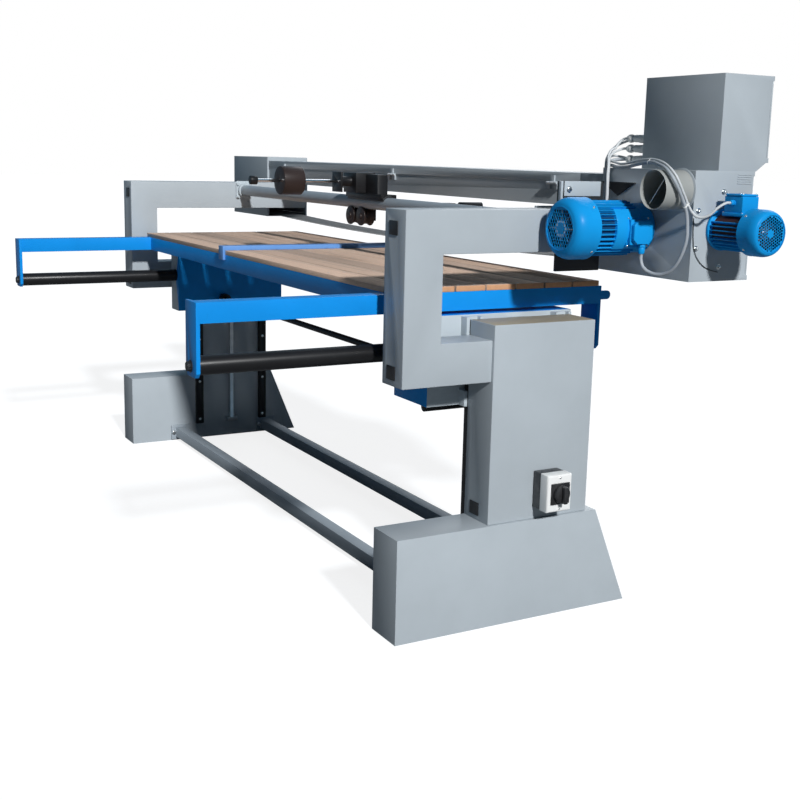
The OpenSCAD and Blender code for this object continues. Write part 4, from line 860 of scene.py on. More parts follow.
CARRIED: tuple[Carried, ...] = (
    Carried("feet", soft=0.003, steps=3),
    Carried("columns", soft=0.003, steps=3, other="dusty", where=on_column_top),
    Carried("drive_end_c_frame", soft=0.003, steps=3),
    Carried("idler_end_c_frame", soft=0.003, steps=3),
    Carried("foot_stretchers", "stretcher", soft=0.002),
    Carried("frame_plugs", "black_plastic"),
    Carried("frame_bolts", "plated"),
    Carried("lift_guide_rails", "black"),
    Carried("lift_screws", "steel", soft=0.0008),
    Carried("belt_guard_beam", soft=0.0012),
    Carried("beam_cover", "grey", "guard_cover", soft=0.0012),
    Carried("carriage_guide_tube", "tube", soft=0.0),
    Carried("guide_tube_brackets", "bracket"),
    # The web under the back wall's stiffener takes the dark finish as painted shade.
    Carried("drive_housing", soft=0.0012, other="dark", where=on_gusset_shade),
    Carried("drive_housing_door", "grey", "drive_door", soft=0.0008),
    Carried("idler_housing", soft=0.0012),
    Carried("idler_housing_door", "grey", "idler_door", soft=0.0008),
    Carried("motor_mount_plate", "dark"),
    Carried("drive_motor_rotor", "steel", "drive_spindle", soft=0.0005),
    Carried("drive_pulley", "cast", "drive_spindle"),
    Carried("fan_motor_rotor", "steel", "fan_spindle", soft=0.0005),
    Carried("dust_impeller", "cast", "fan_spindle", soft=0.0005),
    Carried("tension_rails", "steel", soft=0.0005),
    Carried("tension_fork", "dark", "tensioner"),
    Carried("tension_screw", "steel", "tension_knob"),
    Carried("idler_pulley", "cast", "idler"),
    Carried("electrical_cabinet", soft=0.0015),
    Carried("cabinet_door", "grey", "control_door", soft=0.0008),
    Carried("start_button", "green", "start"),
    Carried("lift_switch", "black_plastic", "lift_knob"),
    Carried("carriage_saddle", "dark", "saddle", soft=0.0006),
    Carried("carriage_block", "black", "lever", soft=0.0015),
    Carried("drive_side_roller", "weight", "roller_drive_side"),
    Carried("idler_side_roller", "weight", "roller_idler_side"),
    Carried("counterweight_rod", "chrome", "lever", other="black", where=on_rod_knob),
    Carried("counterweight", "weight", "weight", soft=0.003, steps=3),
    Carried("pressure_arm", "black", "lever", soft=0.0015),
    Carried("pressure_pad", "felt", "pad", soft=0.002),
    Carried("table_frame", "blue", "table", soft=0.0025, steps=3),
    Carried("stop_bar", "pale_blue", "stop_rail", soft=0.0015),
    Carried("table_guide_tubes", "black", "table"),
    Carried("lift_carriages", "blue", "lift", soft=0.002, other="bracket", where=on_lift_plate),
    Carried("lift_drive", "black", "lift", soft=0.0015),
    Carried("lift_cross_shaft", "black", "cross_shaft", soft=0.0012),
)


@dataclass
class Carcass(Assembly):
    """All the pieces that keep the form of their CAD node."""

    def build(self) -> None:
        """Dresses each carried node."""
        for item in CARRIED:
            obj = Bench.refine(item.node, item.soft, item.steps)
            obj.data.materials.append(getattr(self.palette, item.finish))
            if item.where is not None:
                obj.data.materials.append(getattr(self.palette, item.other))
                for face in obj.data.polygons:
                    face.material_index = int(item.where(face))
            Bench.dress(obj, item.node + "_skin", item.body, getattr(self.palette, item.finish), [item.node])


@dataclass
class SlattedTop(Assembly):
    """Wooden boards of the table with eased edges and countersunk screws."""

    count: int = 7
    width: float = 0.109143
    gap: float = 0.006
    front: float = -0.590
    low: float = 1.052
    high: float = 1.070
    half_length: float = 1.25
    shift: float = 0.0315
    screw_rows: tuple[float, ...] = (-1.22, -0.75, -0.25, 0.25, 0.75, 1.22)

    def build(self) -> None:
        """Makes the boards and their screws."""
        boards, screws = [], []
        for i in range(self.count):
            y = self.front + i * (self.width + self.gap)
            boards.append(Bench.block((self.shift - self.half_length, y, self.low),
                                      (self.shift + self.half_length, y + self.width, self.high), 0.0018, 3))
            for x in self.screw_rows:
                for share in (0.22, 0.78):
                    screws.append(self.screw(self.shift + x, y + self.width * share))
        self.piece(boards, "table_boards", "wood", "table_slats", body="table")
        self.piece(screws, "board_screws", "steel", body="table")

    def screw(self, x: float, y: float) -> Object:
        """Returns one countersunk screw head, flush with the board."""
        head = Bench.rod((x, y, self.high - 0.0012), Axis.Z, 0.0042, 0.0014, 0.0003, 20, 1)
        slot = Bench.block((x - 0.0035, y - 0.0005, self.high - 0.0004),
                           (x + 0.0035, y + 0.0005, self.high + 0.001))
        return Bench.cut(head, slot)


@dataclass
class SandingBelt(Assembly):
    """Endless belt round both pulleys: flat upper run, slack lower run."""

    half_width: float = 0.075
    thick: float = 0.0015
    radius: float = 0.1103
    sag: float = 0.036
    drive_pulley: Vector = along(-1542, 900, 1268)
    idler_pulley: Vector = along(1665, 900, 1268)

    def build(self) -> None:
        """Draws the loop out of one edge and gives it its thickness."""
        start, finish = self.drive_pulley, self.idler_pulley
        half = (finish.x - start.x) / 2
        rise = (half * half - self.sag ** 2) / (2 * self.sag)
        lean = math.atan(half / rise)
        big = rise + self.sag + self.radius
        middle = Vector(((start.x + finish.x) / 2, start.y, start.z + rise))
        up, down = math.pi / 2, 1.5 * math.pi
        path = self.bow(start, self.radius, up, down - lean, 48)
        path += self.bow(middle, big, down - lean, down + lean, 64)[1:-1]
        path += self.bow(finish, self.radius, down + lean, up + 2 * math.pi, 48)
        rows = 28
        path += [path[-1].lerp(path[0], k / rows) for k in range(1, rows)]
        bpy.ops.mesh.primitive_circle_add(vertices=len(path), radius=1.0, fill_type="NOTHING")
        belt = bpy.context.active_object
        for vertex, point in zip(belt.data.vertices, path):
            vertex.co = (point.x, point.y - self.half_width, point.z)
        with Bench.editing(belt, "VERT"):
            bpy.ops.mesh.select_all(action="SELECT")
            bpy.ops.mesh.extrude_region_move(TRANSFORM_OT_translate={"value": (0, 2 * self.half_width, 0)})
        Bench.outward(belt)
        wall = belt.modifiers.new("thickness", "SOLIDIFY")
        wall.thickness = self.thick
        wall.offset = 1.0
        wall.use_even_offset = True
        Bench.fix(belt)
        for material in (self.palette.cloth, self.palette.grit, self.palette.belt_edge):
            belt.data.materials.append(material)
        cloth, grit, edge = range(3)
        for face in belt.data.polygons:
            core = Vector((min(max(face.center.x, start.x), finish.x), face.center.y, start.z))
            if abs(face.normal.y) > 0.7:
                face.material_index = edge
            else:
                face.material_index = grit if face.normal.dot(face.center - core) > 0 else cloth
        self.piece(belt, "belt_loop", "cloth", "sanding_belt")

    @staticmethod
    def bow(centre: Vector, radius: float, first: float, last: float, steps: int) -> list[Vector]:
        """Returns points along an arc in the XZ plane."""
        return [centre + radius * Vector((math.cos(a), 0.0, math.sin(a)))
                for a in (first + (last - first) * k / steps for k in range(steps + 1))]


@dataclass
class Grille:
    """Round plate of hexagonal holes in the end of a fan cowl.

    Attributes:
        radius: Radius of the plate.
        thick: Thickness of the plate.
        cell: Distance between two holes of a row.
        bar: Width of the bars between the holes.
        hub: Radius of the plain middle, in cells.
    """

    radius: float
    thick: float
    cell: float
    bar: float
    hub: float = 1.2

    def mesh(self, centre: Sequence[float], axis: Axis) -> Object:
        """Cuts the holes out of a disc.

        Args:
            centre: Centre of the disc's inner face.
            axis: Direction in which its outer face looks.

        Returns:
            The finished disc.
        """
        disc = Bench.rod((0, 0, 0), Axis.Z, self.radius, self.thick, sides=72)
        hole_r = (self.cell - self.bar) / math.sqrt(3)
        pitch = self.cell * HEX_ROW
        tools = []
        rows = int(self.radius / pitch) + 1
        for row in range(-rows, rows + 1):
            for column in range(-rows - 1, rows + 2):
                x = (column + 0.5 * (row % 2)) * self.cell
                y = row * pitch
                reach = math.hypot(x, y)
                if reach + hole_r < self.radius - self.bar and reach > self.cell * self.hub:
                    bpy.ops.mesh.primitive_cylinder_add(vertices=6, radius=hole_r, depth=self.thick * 3,
                                                        location=(x, y, self.thick / 2))
                    tools.append(bpy.context.active_object)
        Bench.cut(disc, Bench.settle(Bench.join(tools)))
        return Bench.settle(disc, Matrix.Translation(Vector(centre)) @ TURN[axis])


@dataclass
class FinnedMotor(Assembly):
    """Foot or flange motor: finned casing, fan cowl with its grille, end shields and screws.

    Attributes:
        name: Start of its pieces' names.
        axis: Direction from its nose to its fan.
        nose: Middle of its front face.
        length: Its whole length, with the cowl.
        cowl_radius: Radius of the fan cowl.
        cowl_length: Length of the fan cowl.
        body_radius: Radius over the fins.
        fins: Number of fins round the casing.
        shield_radius: Radius of the front shield.
        shield_length: Length of the front shield.
        mouth: Share of the cowl's radius that the grille fills.
        casing_node: CAD node of the casing.
        cowl_node: CAD node of the cowl.
        groove: Painted shade on the casing between the fins.
    """

    name: str
    axis: Axis
    nose: Vector
    length: float
    cowl_radius: float
    cowl_length: float
    body_radius: float
    fins: int
    shield_radius: float
    shield_length: float
    mouth: float
    casing_node: str
    cowl_node: str
    groove: Material

    @property
    def way(self) -> Vector:
        """Direction of the motor's axis, away from its nose."""
        return TURN[self.axis].to_3x3() @ UP

    def side(self, angle: float) -> Vector:
        """Returns the direction out from the motor's axis at an angle."""
        return TURN[self.axis].to_3x3() @ Vector((math.cos(angle), math.sin(angle), 0))

    def tip(self, distance: float) -> Vector:
        """Returns the point on the motor's axis at a distance from its nose."""
        return self.nose + self.way * distance

    def build(self, gap_test: Callable[[Vector], bool]) -> None:
        """Makes the casing and the cowl.

        Args:
            gap_test: Says whether a fin at this outward direction is left out for the terminal box or a foot.
        """
        cowl_start = self.length - self.cowl_length
        shell_r = self.body_radius - 0.011
        shield, deep = self.shield_radius, self.shield_length
        rim = self.cowl_radius - 0.004
        profile = [(shield - 0.003, 0.0), (shield, 0.003), (shield, deep - 0.003), (shield - 0.002, deep),
                   (shell_r, deep + 0.002), (shell_r, cowl_start - 0.002), (rim, cowl_start),
                   (rim, cowl_start + 0.012)]
        casing = Bench.turned(profile, self.nose, self.axis, 72)
        Bench.soften(casing, 0.0012, 2)
        pieces = [casing]
        step = self.way
        start, stop = deep - 0.001, cowl_start + 0.004
        casing.data.materials.append(self.palette.motor_blue)
        casing.data.materials.append(self.groove)
        # Faces of the shell between the fins get the groove finish: painted shade between the fins.
        for face in casing.data.polygons:
            along_axis = (face.center - self.nose).dot(step)
            face.material_index = int(deep + 0.0025 < along_axis < cowl_start - 0.0025)
        for k in range(self.fins):
            side = self.side(2 * math.pi * k / self.fins)
            if gap_test(side):
                continue
            pieces.append(self.fin(side, step, shell_r - 0.002, self.body_radius, start, stop))
        self.piece(pieces, f"{self.name}_casing", "motor_blue", self.casing_node)
        self.build_cowl(cowl_start)

    def fin(self, side: Vector, step: Vector, low: float, high: float, start: float, stop: float
            ) -> Object:
        """Returns one cooling fin that stands out along side and runs along step."""
        bpy.ops.mesh.primitive_cube_add(size=1.0)
        obj = bpy.context.active_object
        obj.data.materials.append(self.palette.motor_blue)
        across = step.cross(side)
        for vertex in obj.data.vertices:
            a, b, c = vertex.co
            thick = 0.0032 if a < 0 else 0.0018
            vertex.co = (side * (low if a < 0 else high) + across * (b * thick)
                         + step * (start if c < 0 else stop) + self.nose)
        Bench.outward(obj)
        return obj

    def build_cowl(self, start: float) -> None:
        """Makes the fan cowl with its rounded shoulder, rolled rim and grille."""
        r, l = self.cowl_radius, self.cowl_length
        mouth = r * self.mouth

        def shoulder(skin: float) -> list[tuple[float, float]]:
            """Returns the quarter ellipse of the shoulder, a skin's thickness inside the outer one."""
            return [(mouth + 0.003 + (r - mouth - 0.003 - skin) * math.cos(a),
                     l * 0.5 + (l * 0.5 - 0.0045 - skin) * math.sin(a))
                    for a in (math.pi / 2 * k / 12 for k in range(13))]

        outer = [(r + 0.0006, 0.0), (r, 0.004), *shoulder(0.0), (mouth, l - 0.003)]
        inner = [(mouth, l - 0.007), *reversed(shoulder(0.0025)), (r - 0.0025, 0.0)]
        cowl = Bench.turned([*outer, *inner, outer[0]], self.tip(start), self.axis, 96, close=False)
        Bench.outward(cowl, SEAM)
        self.piece(cowl, f"{self.name}_cowl", "motor_blue", self.cowl_node)
        grille = Grille(mouth + 0.002, 0.0012, r * 0.125, r * 0.021)
        plate = grille.mesh(self.tip(start + l - 0.0066), self.axis)
        self.piece(plate, f"{self.name}_grille", "motor_blue")
        # A black disc inside the cowl behind the grille: painted shade in the cowl's depth.
        back = Bench.rod(self.tip(start + l - 0.03), self.axis, r - 0.02, 0.001)
        self.piece(back, f"{self.name}_grille_shade_disc", "black")
        screws = []
        for k in range(4):
            side = self.side(math.radians(45 + 90 * k))
            screws.append(Hardware.screw(self.tip(start + 0.012) + side * (r - 0.0005), side, 0.0042))
        self.piece(screws, f"{self.name}_cowl_screws", "plated")


class Hardware:
    """Small fastenings that are made once for each place."""

    @staticmethod
    def facing(obj: Object, place: Sequence[float], out: Vector) -> Object:
        """Turns a mesh made along +Z so that it looks along out, and moves it to its place."""
        turn = UP.rotation_difference(Vector(out).normalized()).to_matrix().to_4x4()
        return Bench.settle(obj, Matrix.Translation(Vector(place)) @ turn)

    @staticmethod
    def screw(place: Sequence[float], out: Vector, radius: float) -> Object:
        """Returns a domed screw head with a cross slot.

        Args:
            place: Point on the surface.
            out: Direction in which the head stands out.
            radius: Radius of the head.

        Returns:
            The head.
        """
        dome = [(radius, -0.0006), (radius, radius * 0.12), (radius * 0.86, radius * 0.38),
                (radius * 0.58, radius * 0.56), (radius * 0.24, radius * 0.64)]
        head = Bench.turned(dome, (0, 0, 0), Axis.Z, 20)
        for turn in (0.0, math.pi / 2):
            slot = Bench.block((-radius * 0.55, -radius * 0.1, radius * 0.36),
                               (radius * 0.55, radius * 0.1, radius))
            Bench.cut(head, Bench.settle(slot, Matrix.Rotation(turn, 4, "Z")))
        return Hardware.facing(head, place, out)

    @staticmethod
    def hex_bolt(place: Sequence[float], out: Vector, flats: float) -> Object:
        """Returns a hexagon head on a washer.

        Args:
            place: Point on the surface.
            out: Direction in which the head stands out.
            flats: Width across flats.

        Returns:
            The joined head and washer.
        """
        head = Bench.rod((0, 0, 0.0015), Axis.Z, flats / math.sqrt(3), flats * 0.42, flats * 0.05, 6, 2)
        washer = Bench.rod((0, 0, -0.0004), Axis.Z, flats * 0.72, 0.002, 0.0003, 28, 1)
        return Hardware.facing(Bench.join([head, washer]), place, out)

    @staticmethod
    def dome_nut(place: Sequence[float], out: Vector, flats: float) -> Object:
        """Returns a cap nut on a wide washer."""
        r = flats / 2
        dome = [(r * 0.98, flats * 0.3), (r * 0.9, flats * 0.62), (r * 0.62, flats * 0.86),
                (r * 0.2, flats * 0.96)]
        parts = [Bench.rod((0, 0, 0.0012), Axis.Z, flats / math.sqrt(3), flats * 0.36, flats * 0.05, 6, 2),
                 Bench.turned(dome, (0, 0, 0), Axis.Z, 28),
                 Bench.rod((0, 0, -0.0004), Axis.Z, flats * 0.85, 0.0018, 0.0003, 28, 1)]
        return Hardware.facing(Bench.join(parts), place, out)


@dataclass
class TerminalBox(Assembly):
    """Cast terminal box of a motor: stepped case and a lid with cut corners.

    Attributes:
        name: Start of its pieces' names.
        centre: Middle of its foot on the motor.
        out: Direction in which its lid looks.
        steps: Width, height and top of each step of the case.
        lid: Width, height and thickness of the lid.
        corner: Cut at the lid's corners.
        node: CAD node of the box.
        lid_screws: Whether the lid has screws at its corners.
    """

    name: str
    centre: Vector
    out: Axis
    steps: tuple[tuple[float, float, float], ...]
    lid: tuple[float, float, float]
    corner: float
    node: str
    lid_screws: bool = True

    def build(self) -> None:
        """Makes the flange, case, lid and screws."""
        turn = TURN[self.out].to_3x3()
        out = turn @ UP
        parts, low = [], 0.0
        for w, h, top in self.steps:
            parts.append(Bench.block((-w / 2, -h / 2, low - 0.001), (w / 2, h / 2, top), 0.0022, 3))
            low = top
        lw, lh, ld = self.lid
        lid = Bench.block((-lw / 2, -lh / 2, low + 0.0004), (lw / 2, lh / 2, low + ld))
        with Bench.editing(lid, "EDGE"):
            bpy.ops.object.mode_set(mode="OBJECT")
            for edge in lid.data.edges:
                a, b = (lid.data.vertices[i].co for i in edge.vertices)
                edge.select = abs(a.z - b.z) > ld * 0.5
            bpy.ops.object.mode_set(mode="EDIT")
            bpy.ops.mesh.bevel(offset=self.corner, segments=1)
        Bench.soften(lid, 0.0022, 3)
        place = Matrix.Translation(self.centre) @ TURN[self.out]
        joined = Bench.settle(Bench.join([*parts, lid]), place)
        self.piece(joined, f"{self.name}_box", "motor_blue", self.node)
        screws = []
        w, h, top = self.steps[0]
        for sx in (-1, 1):
            for sy in (-1, 1):
                inset = 0.004 + self.corner * 0.5
                spot = Vector((sx * (lw / 2 - inset), sy * (lh / 2 - inset), low + ld))
                if self.lid_screws:
                    screws.append(Hardware.screw(self.centre + turn @ spot, out, 0.0032))
                ear = Vector((sx * (w / 2 - 0.0035), sy * (h / 2 - 0.0035), top))
                screws.append(Hardware.screw(self.centre + turn @ ear, out, 0.003))
        self.piece(screws, f"{self.name}_box_screws", "plated")


FAN_NOSE = drive(-323, 900, 1276)  # where the fan motor stands on the drive housing


@dataclass
class Drive(Assembly):
    """Drive motor with its terminal box, and the dust fan's motor with its own."""

    def build(self) -> None:
        """Makes both motors."""
        self.drive_motor()
        self.fan_motor()

    def drive_motor(self) -> None:
        """Makes the drive motor with its feet and terminal box."""
        p = self.palette
        nose = drive(-92, 783, 1268)
        main = FinnedMotor(p, "drive_motor", Axis.Y, nose, 0.309, 0.093, 0.088, 0.084, 34, 0.076, 0.062, 0.70,
                           "drive_motor_body", "drive_motor_cowl", p.groove_blue)
        main.build(lambda side: side.x > 0.6)
        pad = Bench.rod(nose + Vector((0, 0.061, 0)), Axis.Y, 0.0846, 0.094, 0.002, 96)
        for low, high in (((-0.2, -0.2, 0.06), (0.2, 0.4, 0.2)), ((-0.2, -0.2, -0.2), (0.2, 0.4, -0.06)),
                          ((-0.03, -0.2, -0.2), (0.2, 0.4, 0.2))):
            Bench.cut(pad, Bench.block(nose + Vector(low), nose + Vector(high)))
        self.piece(pad, "drive_motor_box_pad", "motor_blue")
        feet = [Bench.block(drive(-37, back, 1198), drive(10, back - 34, 1338), 0.003) for back in (709, 606)]
        feet.append(Bench.block(drive(-42, 700, 1238), drive(0, 590, 1298), 0.004))
        self.piece(feet, "drive_motor_feet", "motor_blue")
        TerminalBox(p, "drive_motor", drive(-158, 711.5, 1260), Axis.MINUS_X,
                    ((0.090, 0.083, 0.012), (0.076, 0.076, 0.025)), (0.070, 0.072, 0.015), 0.014,
                    "drive_motor_terminal_box", False).build()
        self.gland("drive_motor_gland", drive(-185, 717, 1223), -UP, 0.0105, 0.027)

    def fan_motor(self) -> None:
        """Makes the fan motor with its terminal box."""
        p = self.palette
        fan = FinnedMotor(p, "fan_motor", Axis.MINUS_X, FAN_NOSE, 0.2, 0.068, 0.070, 0.060, 28, 0.062, 0.012,
                          0.78, "fan_motor_body", "fan_motor_cowl", p.groove_brown)
        fan.build(lambda side: side.z > 0.6)
        TerminalBox(p, "fan_motor", drive(-397, 900, 1320), Axis.Z,
                    ((0.080, 0.072, 0.010), (0.072, 0.064, 0.057)), (0.074, 0.066, 0.007), 0.006,
                    "fan_motor_terminal_box").build()
        self.gland("fan_motor_gland", drive(-397, 868, 1358), BACKWARD, 0.0085, 0.013)

    def gland(self, name: str, place: Vector, out: Vector, radius: float, length: float) -> None:
        """Makes a cable gland: hexagon body and a turned cap that narrows at its end."""
        body = Bench.rod((0, 0, -0.001), Axis.Z, radius * 1.12, length * 0.35, 0.0008, 6)
        cap = Bench.turned([(radius * 0.86, length * 0.3), (radius, length * 0.42), (radius, length * 0.78),
                            (radius * 0.78, length), (radius * 0.6, length)], (0, 0, 0), Axis.Z, 24)
        self.piece(Hardware.facing(Bench.join([body, cap]), place, out), name, "motor_blue")


@dataclass
class DustPipe(Assembly):
    """Spigot of the dust fan: rolled rim, ring seam and a wire across its mouth."""

    radius: float = 0.058
    length: float = 0.108

    def build(self) -> None:
        """Makes the pipe and its wire."""
        start = drive(-265, 785, 1390)
        r, l = self.radius, self.length
        outside = [(r, 0.0), (r, 0.062), (r + 0.0008, 0.0635), (r + 0.0015, 0.066), (r + 0.0008, 0.0685),
                   (r, 0.07), (r, l - 0.003), (r - 0.0005, l - 0.001), (r - 0.001, l)]
        inside = [(r - 0.0018, l - 0.0006), (r - 0.002, l - 0.002), (r - 0.002, 0.0)]
        pipe = Bench.turned([*outside, *inside, outside[0]], start, Axis.Y, 96, close=False)
        Bench.outward(pipe, SEAM)
        self.piece(pipe, "dust_pipe", "duct", "dust_outlet")
        wire = Bench.rod((-r + 0.001, 0, 0), Axis.X, 0.0016, 2 * r - 0.002, 0.0, 12)
        Bench.settle(wire, Matrix.Translation(start + Vector((0, l - 0.02, 0)))
                     @ Matrix.Rotation(math.radians(52), 4, "Y"))
        self.piece(wire, "dust_pipe_wire", "plated")
        collar = Bench.turned([(r + 0.006, -0.0005), (r + 0.006, 0.0015), (r + 0.001, 0.004)],
                              start, Axis.Y, 72)
        bore = Bench.rod(start - Vector((0, 0.01, 0)), Axis.Y, r - 0.0018, 0.03, sides=72)
        self.piece(Bench.cut(collar, bore), "dust_pipe_weld", "grey")


@dataclass
class Wiring(Assembly):
    """Leads from both motors and the cabinet's cables, with ties and glands."""

    MOTOR = ((-185, 717, 1196), (-185, 717, 1181), (-189, 718, 1165), (-199, 722, 1151), (-214, 730, 1142),
             (-233, 738, 1138), (-256, 747, 1141), (-279, 754, 1154), (-301, 758, 1179), (-320, 760, 1218),
             (-330, 760, 1253), (-331, 758, 1288), (-332, 752, 1320), (-333, 742, 1344), (-334, 728, 1368),
             (-336, 713, 1390), (-334, 700, 1411), (-324, 692, 1431), (-298, 694, 1450), (-252, 709, 1461),
             (-201, 727, 1468), (-147, 743, 1466), (-86, 757, 1459), (-38, 766, 1452), (20, 774, 1451),
             (52, 783, 1455), (88, 797, 1457), (119, 814, 1460), (142, 833, 1464), (153, 853, 1469),
             (151, 873, 1473), (141, 887, 1475), (128, 893, 1476), (115, 893, 1476))
    FAN = ((-397, 855, 1358), (-397, 843, 1358), (-394, 830, 1353), (-387, 815, 1341), (-377, 803, 1325),
           (-363, 790, 1315), (-348, 777, 1316), (-335, 768, 1329), (-330, 757, 1348), (-330, 745, 1368),
           (-331, 731, 1389), (-330, 718, 1411), (-322, 709, 1433), (-299, 708, 1452), (-259, 718, 1467),
           (-210, 732, 1475), (-156, 746, 1476), (-103, 757, 1472), (-47, 766, 1464), (-1, 772, 1461),
           (42, 781, 1466), (80, 793, 1470), (112, 811, 1473), (138, 834, 1479), (154, 858, 1484),
           (161, 884, 1486), (158, 909, 1483), (146, 928, 1478), (129, 937, 1476), (115, 937, 1476))
    ARM = (((115, 893, 1542), (127, 893, 1542), (137, 887, 1537), (140, 874, 1525), (129, 854, 1511),
            (111, 825, 1505), (87, 797, 1496), (62, 772, 1483), (39, 755, 1458), (32, 748, 1427),
            (29, 746, 1396), (28, 746, 1362), (28, 746, 1318)),
           ((115, 893, 1510), (128, 893, 1510), (138, 884, 1507), (131, 858, 1500), (110, 829, 1494),
            (86, 801, 1487), (62, 777, 1475), (44, 762, 1450), (38, 756, 1425), (35, 754, 1396),
            (34, 754, 1362), (34, 754, 1318)),
           ((115, 937, 1542), (128, 937, 1542), (144, 930, 1539), (154, 914, 1532), (156, 893, 1524),
            (150, 869, 1514), (139, 849, 1505), (119, 823, 1494), (95, 796, 1483), (70, 771, 1470),
            (54, 757, 1450), (47, 753, 1425), (44, 752, 1396), (43, 751, 1362), (43, 751, 1318)))
    TIES = (((-333, 742, 1344), (-330, 757, 1348), 13), ((-174, 735, 1467), (-174, 741.5, 1475.5), 20))

    def build(self) -> None:
        """Makes the cables, their ties and the cabinet's glands."""
        self.lead("drive_motor_lead_run", self.MOTOR, 0.011, self.palette.sheath, "drive_motor_lead")
        self.lead("fan_motor_lead_run", self.FAN, 0.008, self.palette.thin_sheath, "fan_motor_lead")
        for number, route in enumerate(self.ARM, 1):
            self.lead(f"arm_cable_{number}", route, 0.008, self.palette.thin_sheath, "cabinet_cables")
        self.ties()
        self.glands()

    def ties(self) -> None:
        """Puts the pale cable ties round both motors' leads where these run together."""
        bands, half, soft = [], 0.0022, 0.0006
        for first, second, knot in self.TIES:
            low, high = drive(*first), drive(*second)
            way = (drive(*self.MOTOR[knot + 1]) - drive(*self.MOTOR[knot])).normalized()
            across = high - low
            across -= way * across.dot(way)
            reach = across.length
            lock = reach * 0.3
            parts = [Bench.rod((0, 0, -half), Axis.Z, 0.0064, 2 * half, soft, 24),
                     Bench.rod((reach, 0, -half), Axis.Z, 0.0050, 2 * half, soft, 24),
                     Bench.block((0, -0.0050, -half), (reach, 0.0050, half), soft),
                     Bench.block((lock, 0.004, -0.003), (lock + 0.006, 0.0085, 0.003), soft)]
            x = across.normalized()
            turn = Matrix((x, way.cross(x), way)).transposed().to_4x4()
            bands.append(Bench.settle(Bench.join(parts), Matrix.Translation(low) @ turn))
        self.piece(bands, "cable_ties", "white")

    def lead(self, name: str, route: Sequence[Triple], thick: float, material: Material,
             node: str) -> None:
        """Args:
            name: The piece's name.
            route: Its points as distance inwards, setback and height at the drive end, in mm.
            thick: Its diameter in metres.
            material: Its sheath.
            node: The CAD node that it stands for.
        """
        points = [drive(*point) for point in route]
        obj = Bench.tube(name, points, thick, 5)
        obj.data.resolution_u = 8
        obj.data.use_fill_caps = True
        obj.data.materials.append(material)
        spline = obj.data.splines[0]
        for k, knot in enumerate(spline.bezier_points):
            before, after = points[max(k - 1, 0)], points[min(k + 1, len(points) - 1)]
            way = (after - before) / (after - before).length
            knot.handle_left_type = knot.handle_right_type = "FREE"
            knot.handle_left = points[k] - way * (points[k] - before).length / 3
            knot.handle_right = points[k] + way * (after - points[k]).length / 3
        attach(obj, "frame")
        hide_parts(node)
        length = self.measure(spline)
        LOG.info("%s is %.3f m long", name, length)

    @staticmethod
    def measure(spline: bpy.types.Spline) -> float:
        """Returns the length of a curve's centreline in metres."""
        total = 0.0
        knots = spline.bezier_points
        for first, second in zip(knots, knots[1:]):
            last = first.co.copy()
            for step in range(1, 17):
                t = step / 16
                spot = ((1 - t) ** 3 * first.co + 3 * (1 - t) ** 2 * t * first.handle_right
                        + 3 * (1 - t) * t * t * second.handle_left + t ** 3 * second.co)
                total += (spot - last).length
                last = spot
        return round(total, 4)

    def glands(self) -> None:
        """Makes the white glands on the cabinet's inner side."""
        parts, necks = [], []
        for height in (1476, 1510, 1542):
            for setback in (893, 937):
                start = drive(17, setback, height)
                nut = Bench.rod(start, Axis.X, 0.0142, 0.010, 0.001, 6)
                body = Bench.turned([(0.0115, 0.009), (0.012, 0.012), (0.012, 0.058), (0.0105, 0.061)],
                                    start, Axis.X, 28)
                cap = Bench.turned([(0.0105, 0.071), (0.0125, 0.074), (0.0125, 0.088), (0.0105, 0.0915),
                                    (0.009, 0.0965), (0.0075, 0.098)], start, Axis.X, 28)
                rib = Bench.block((0.0745, -0.0006, 0.0122), (0.0875, 0.0006, 0.0133))
                rib = Bench.ring(rib, 14, (0, 0, 0), "X")
                Bench.settle(rib, Matrix.Translation(start))
                parts += [nut, body, cap, rib]
                necks.append(Bench.rod(start + Vector((0.060, 0, 0)), Axis.X, 0.008, 0.012))
        self.piece(parts, "white_glands", "white", "cable_glands")
        self.piece(necks, "gland_necks", "sheath")


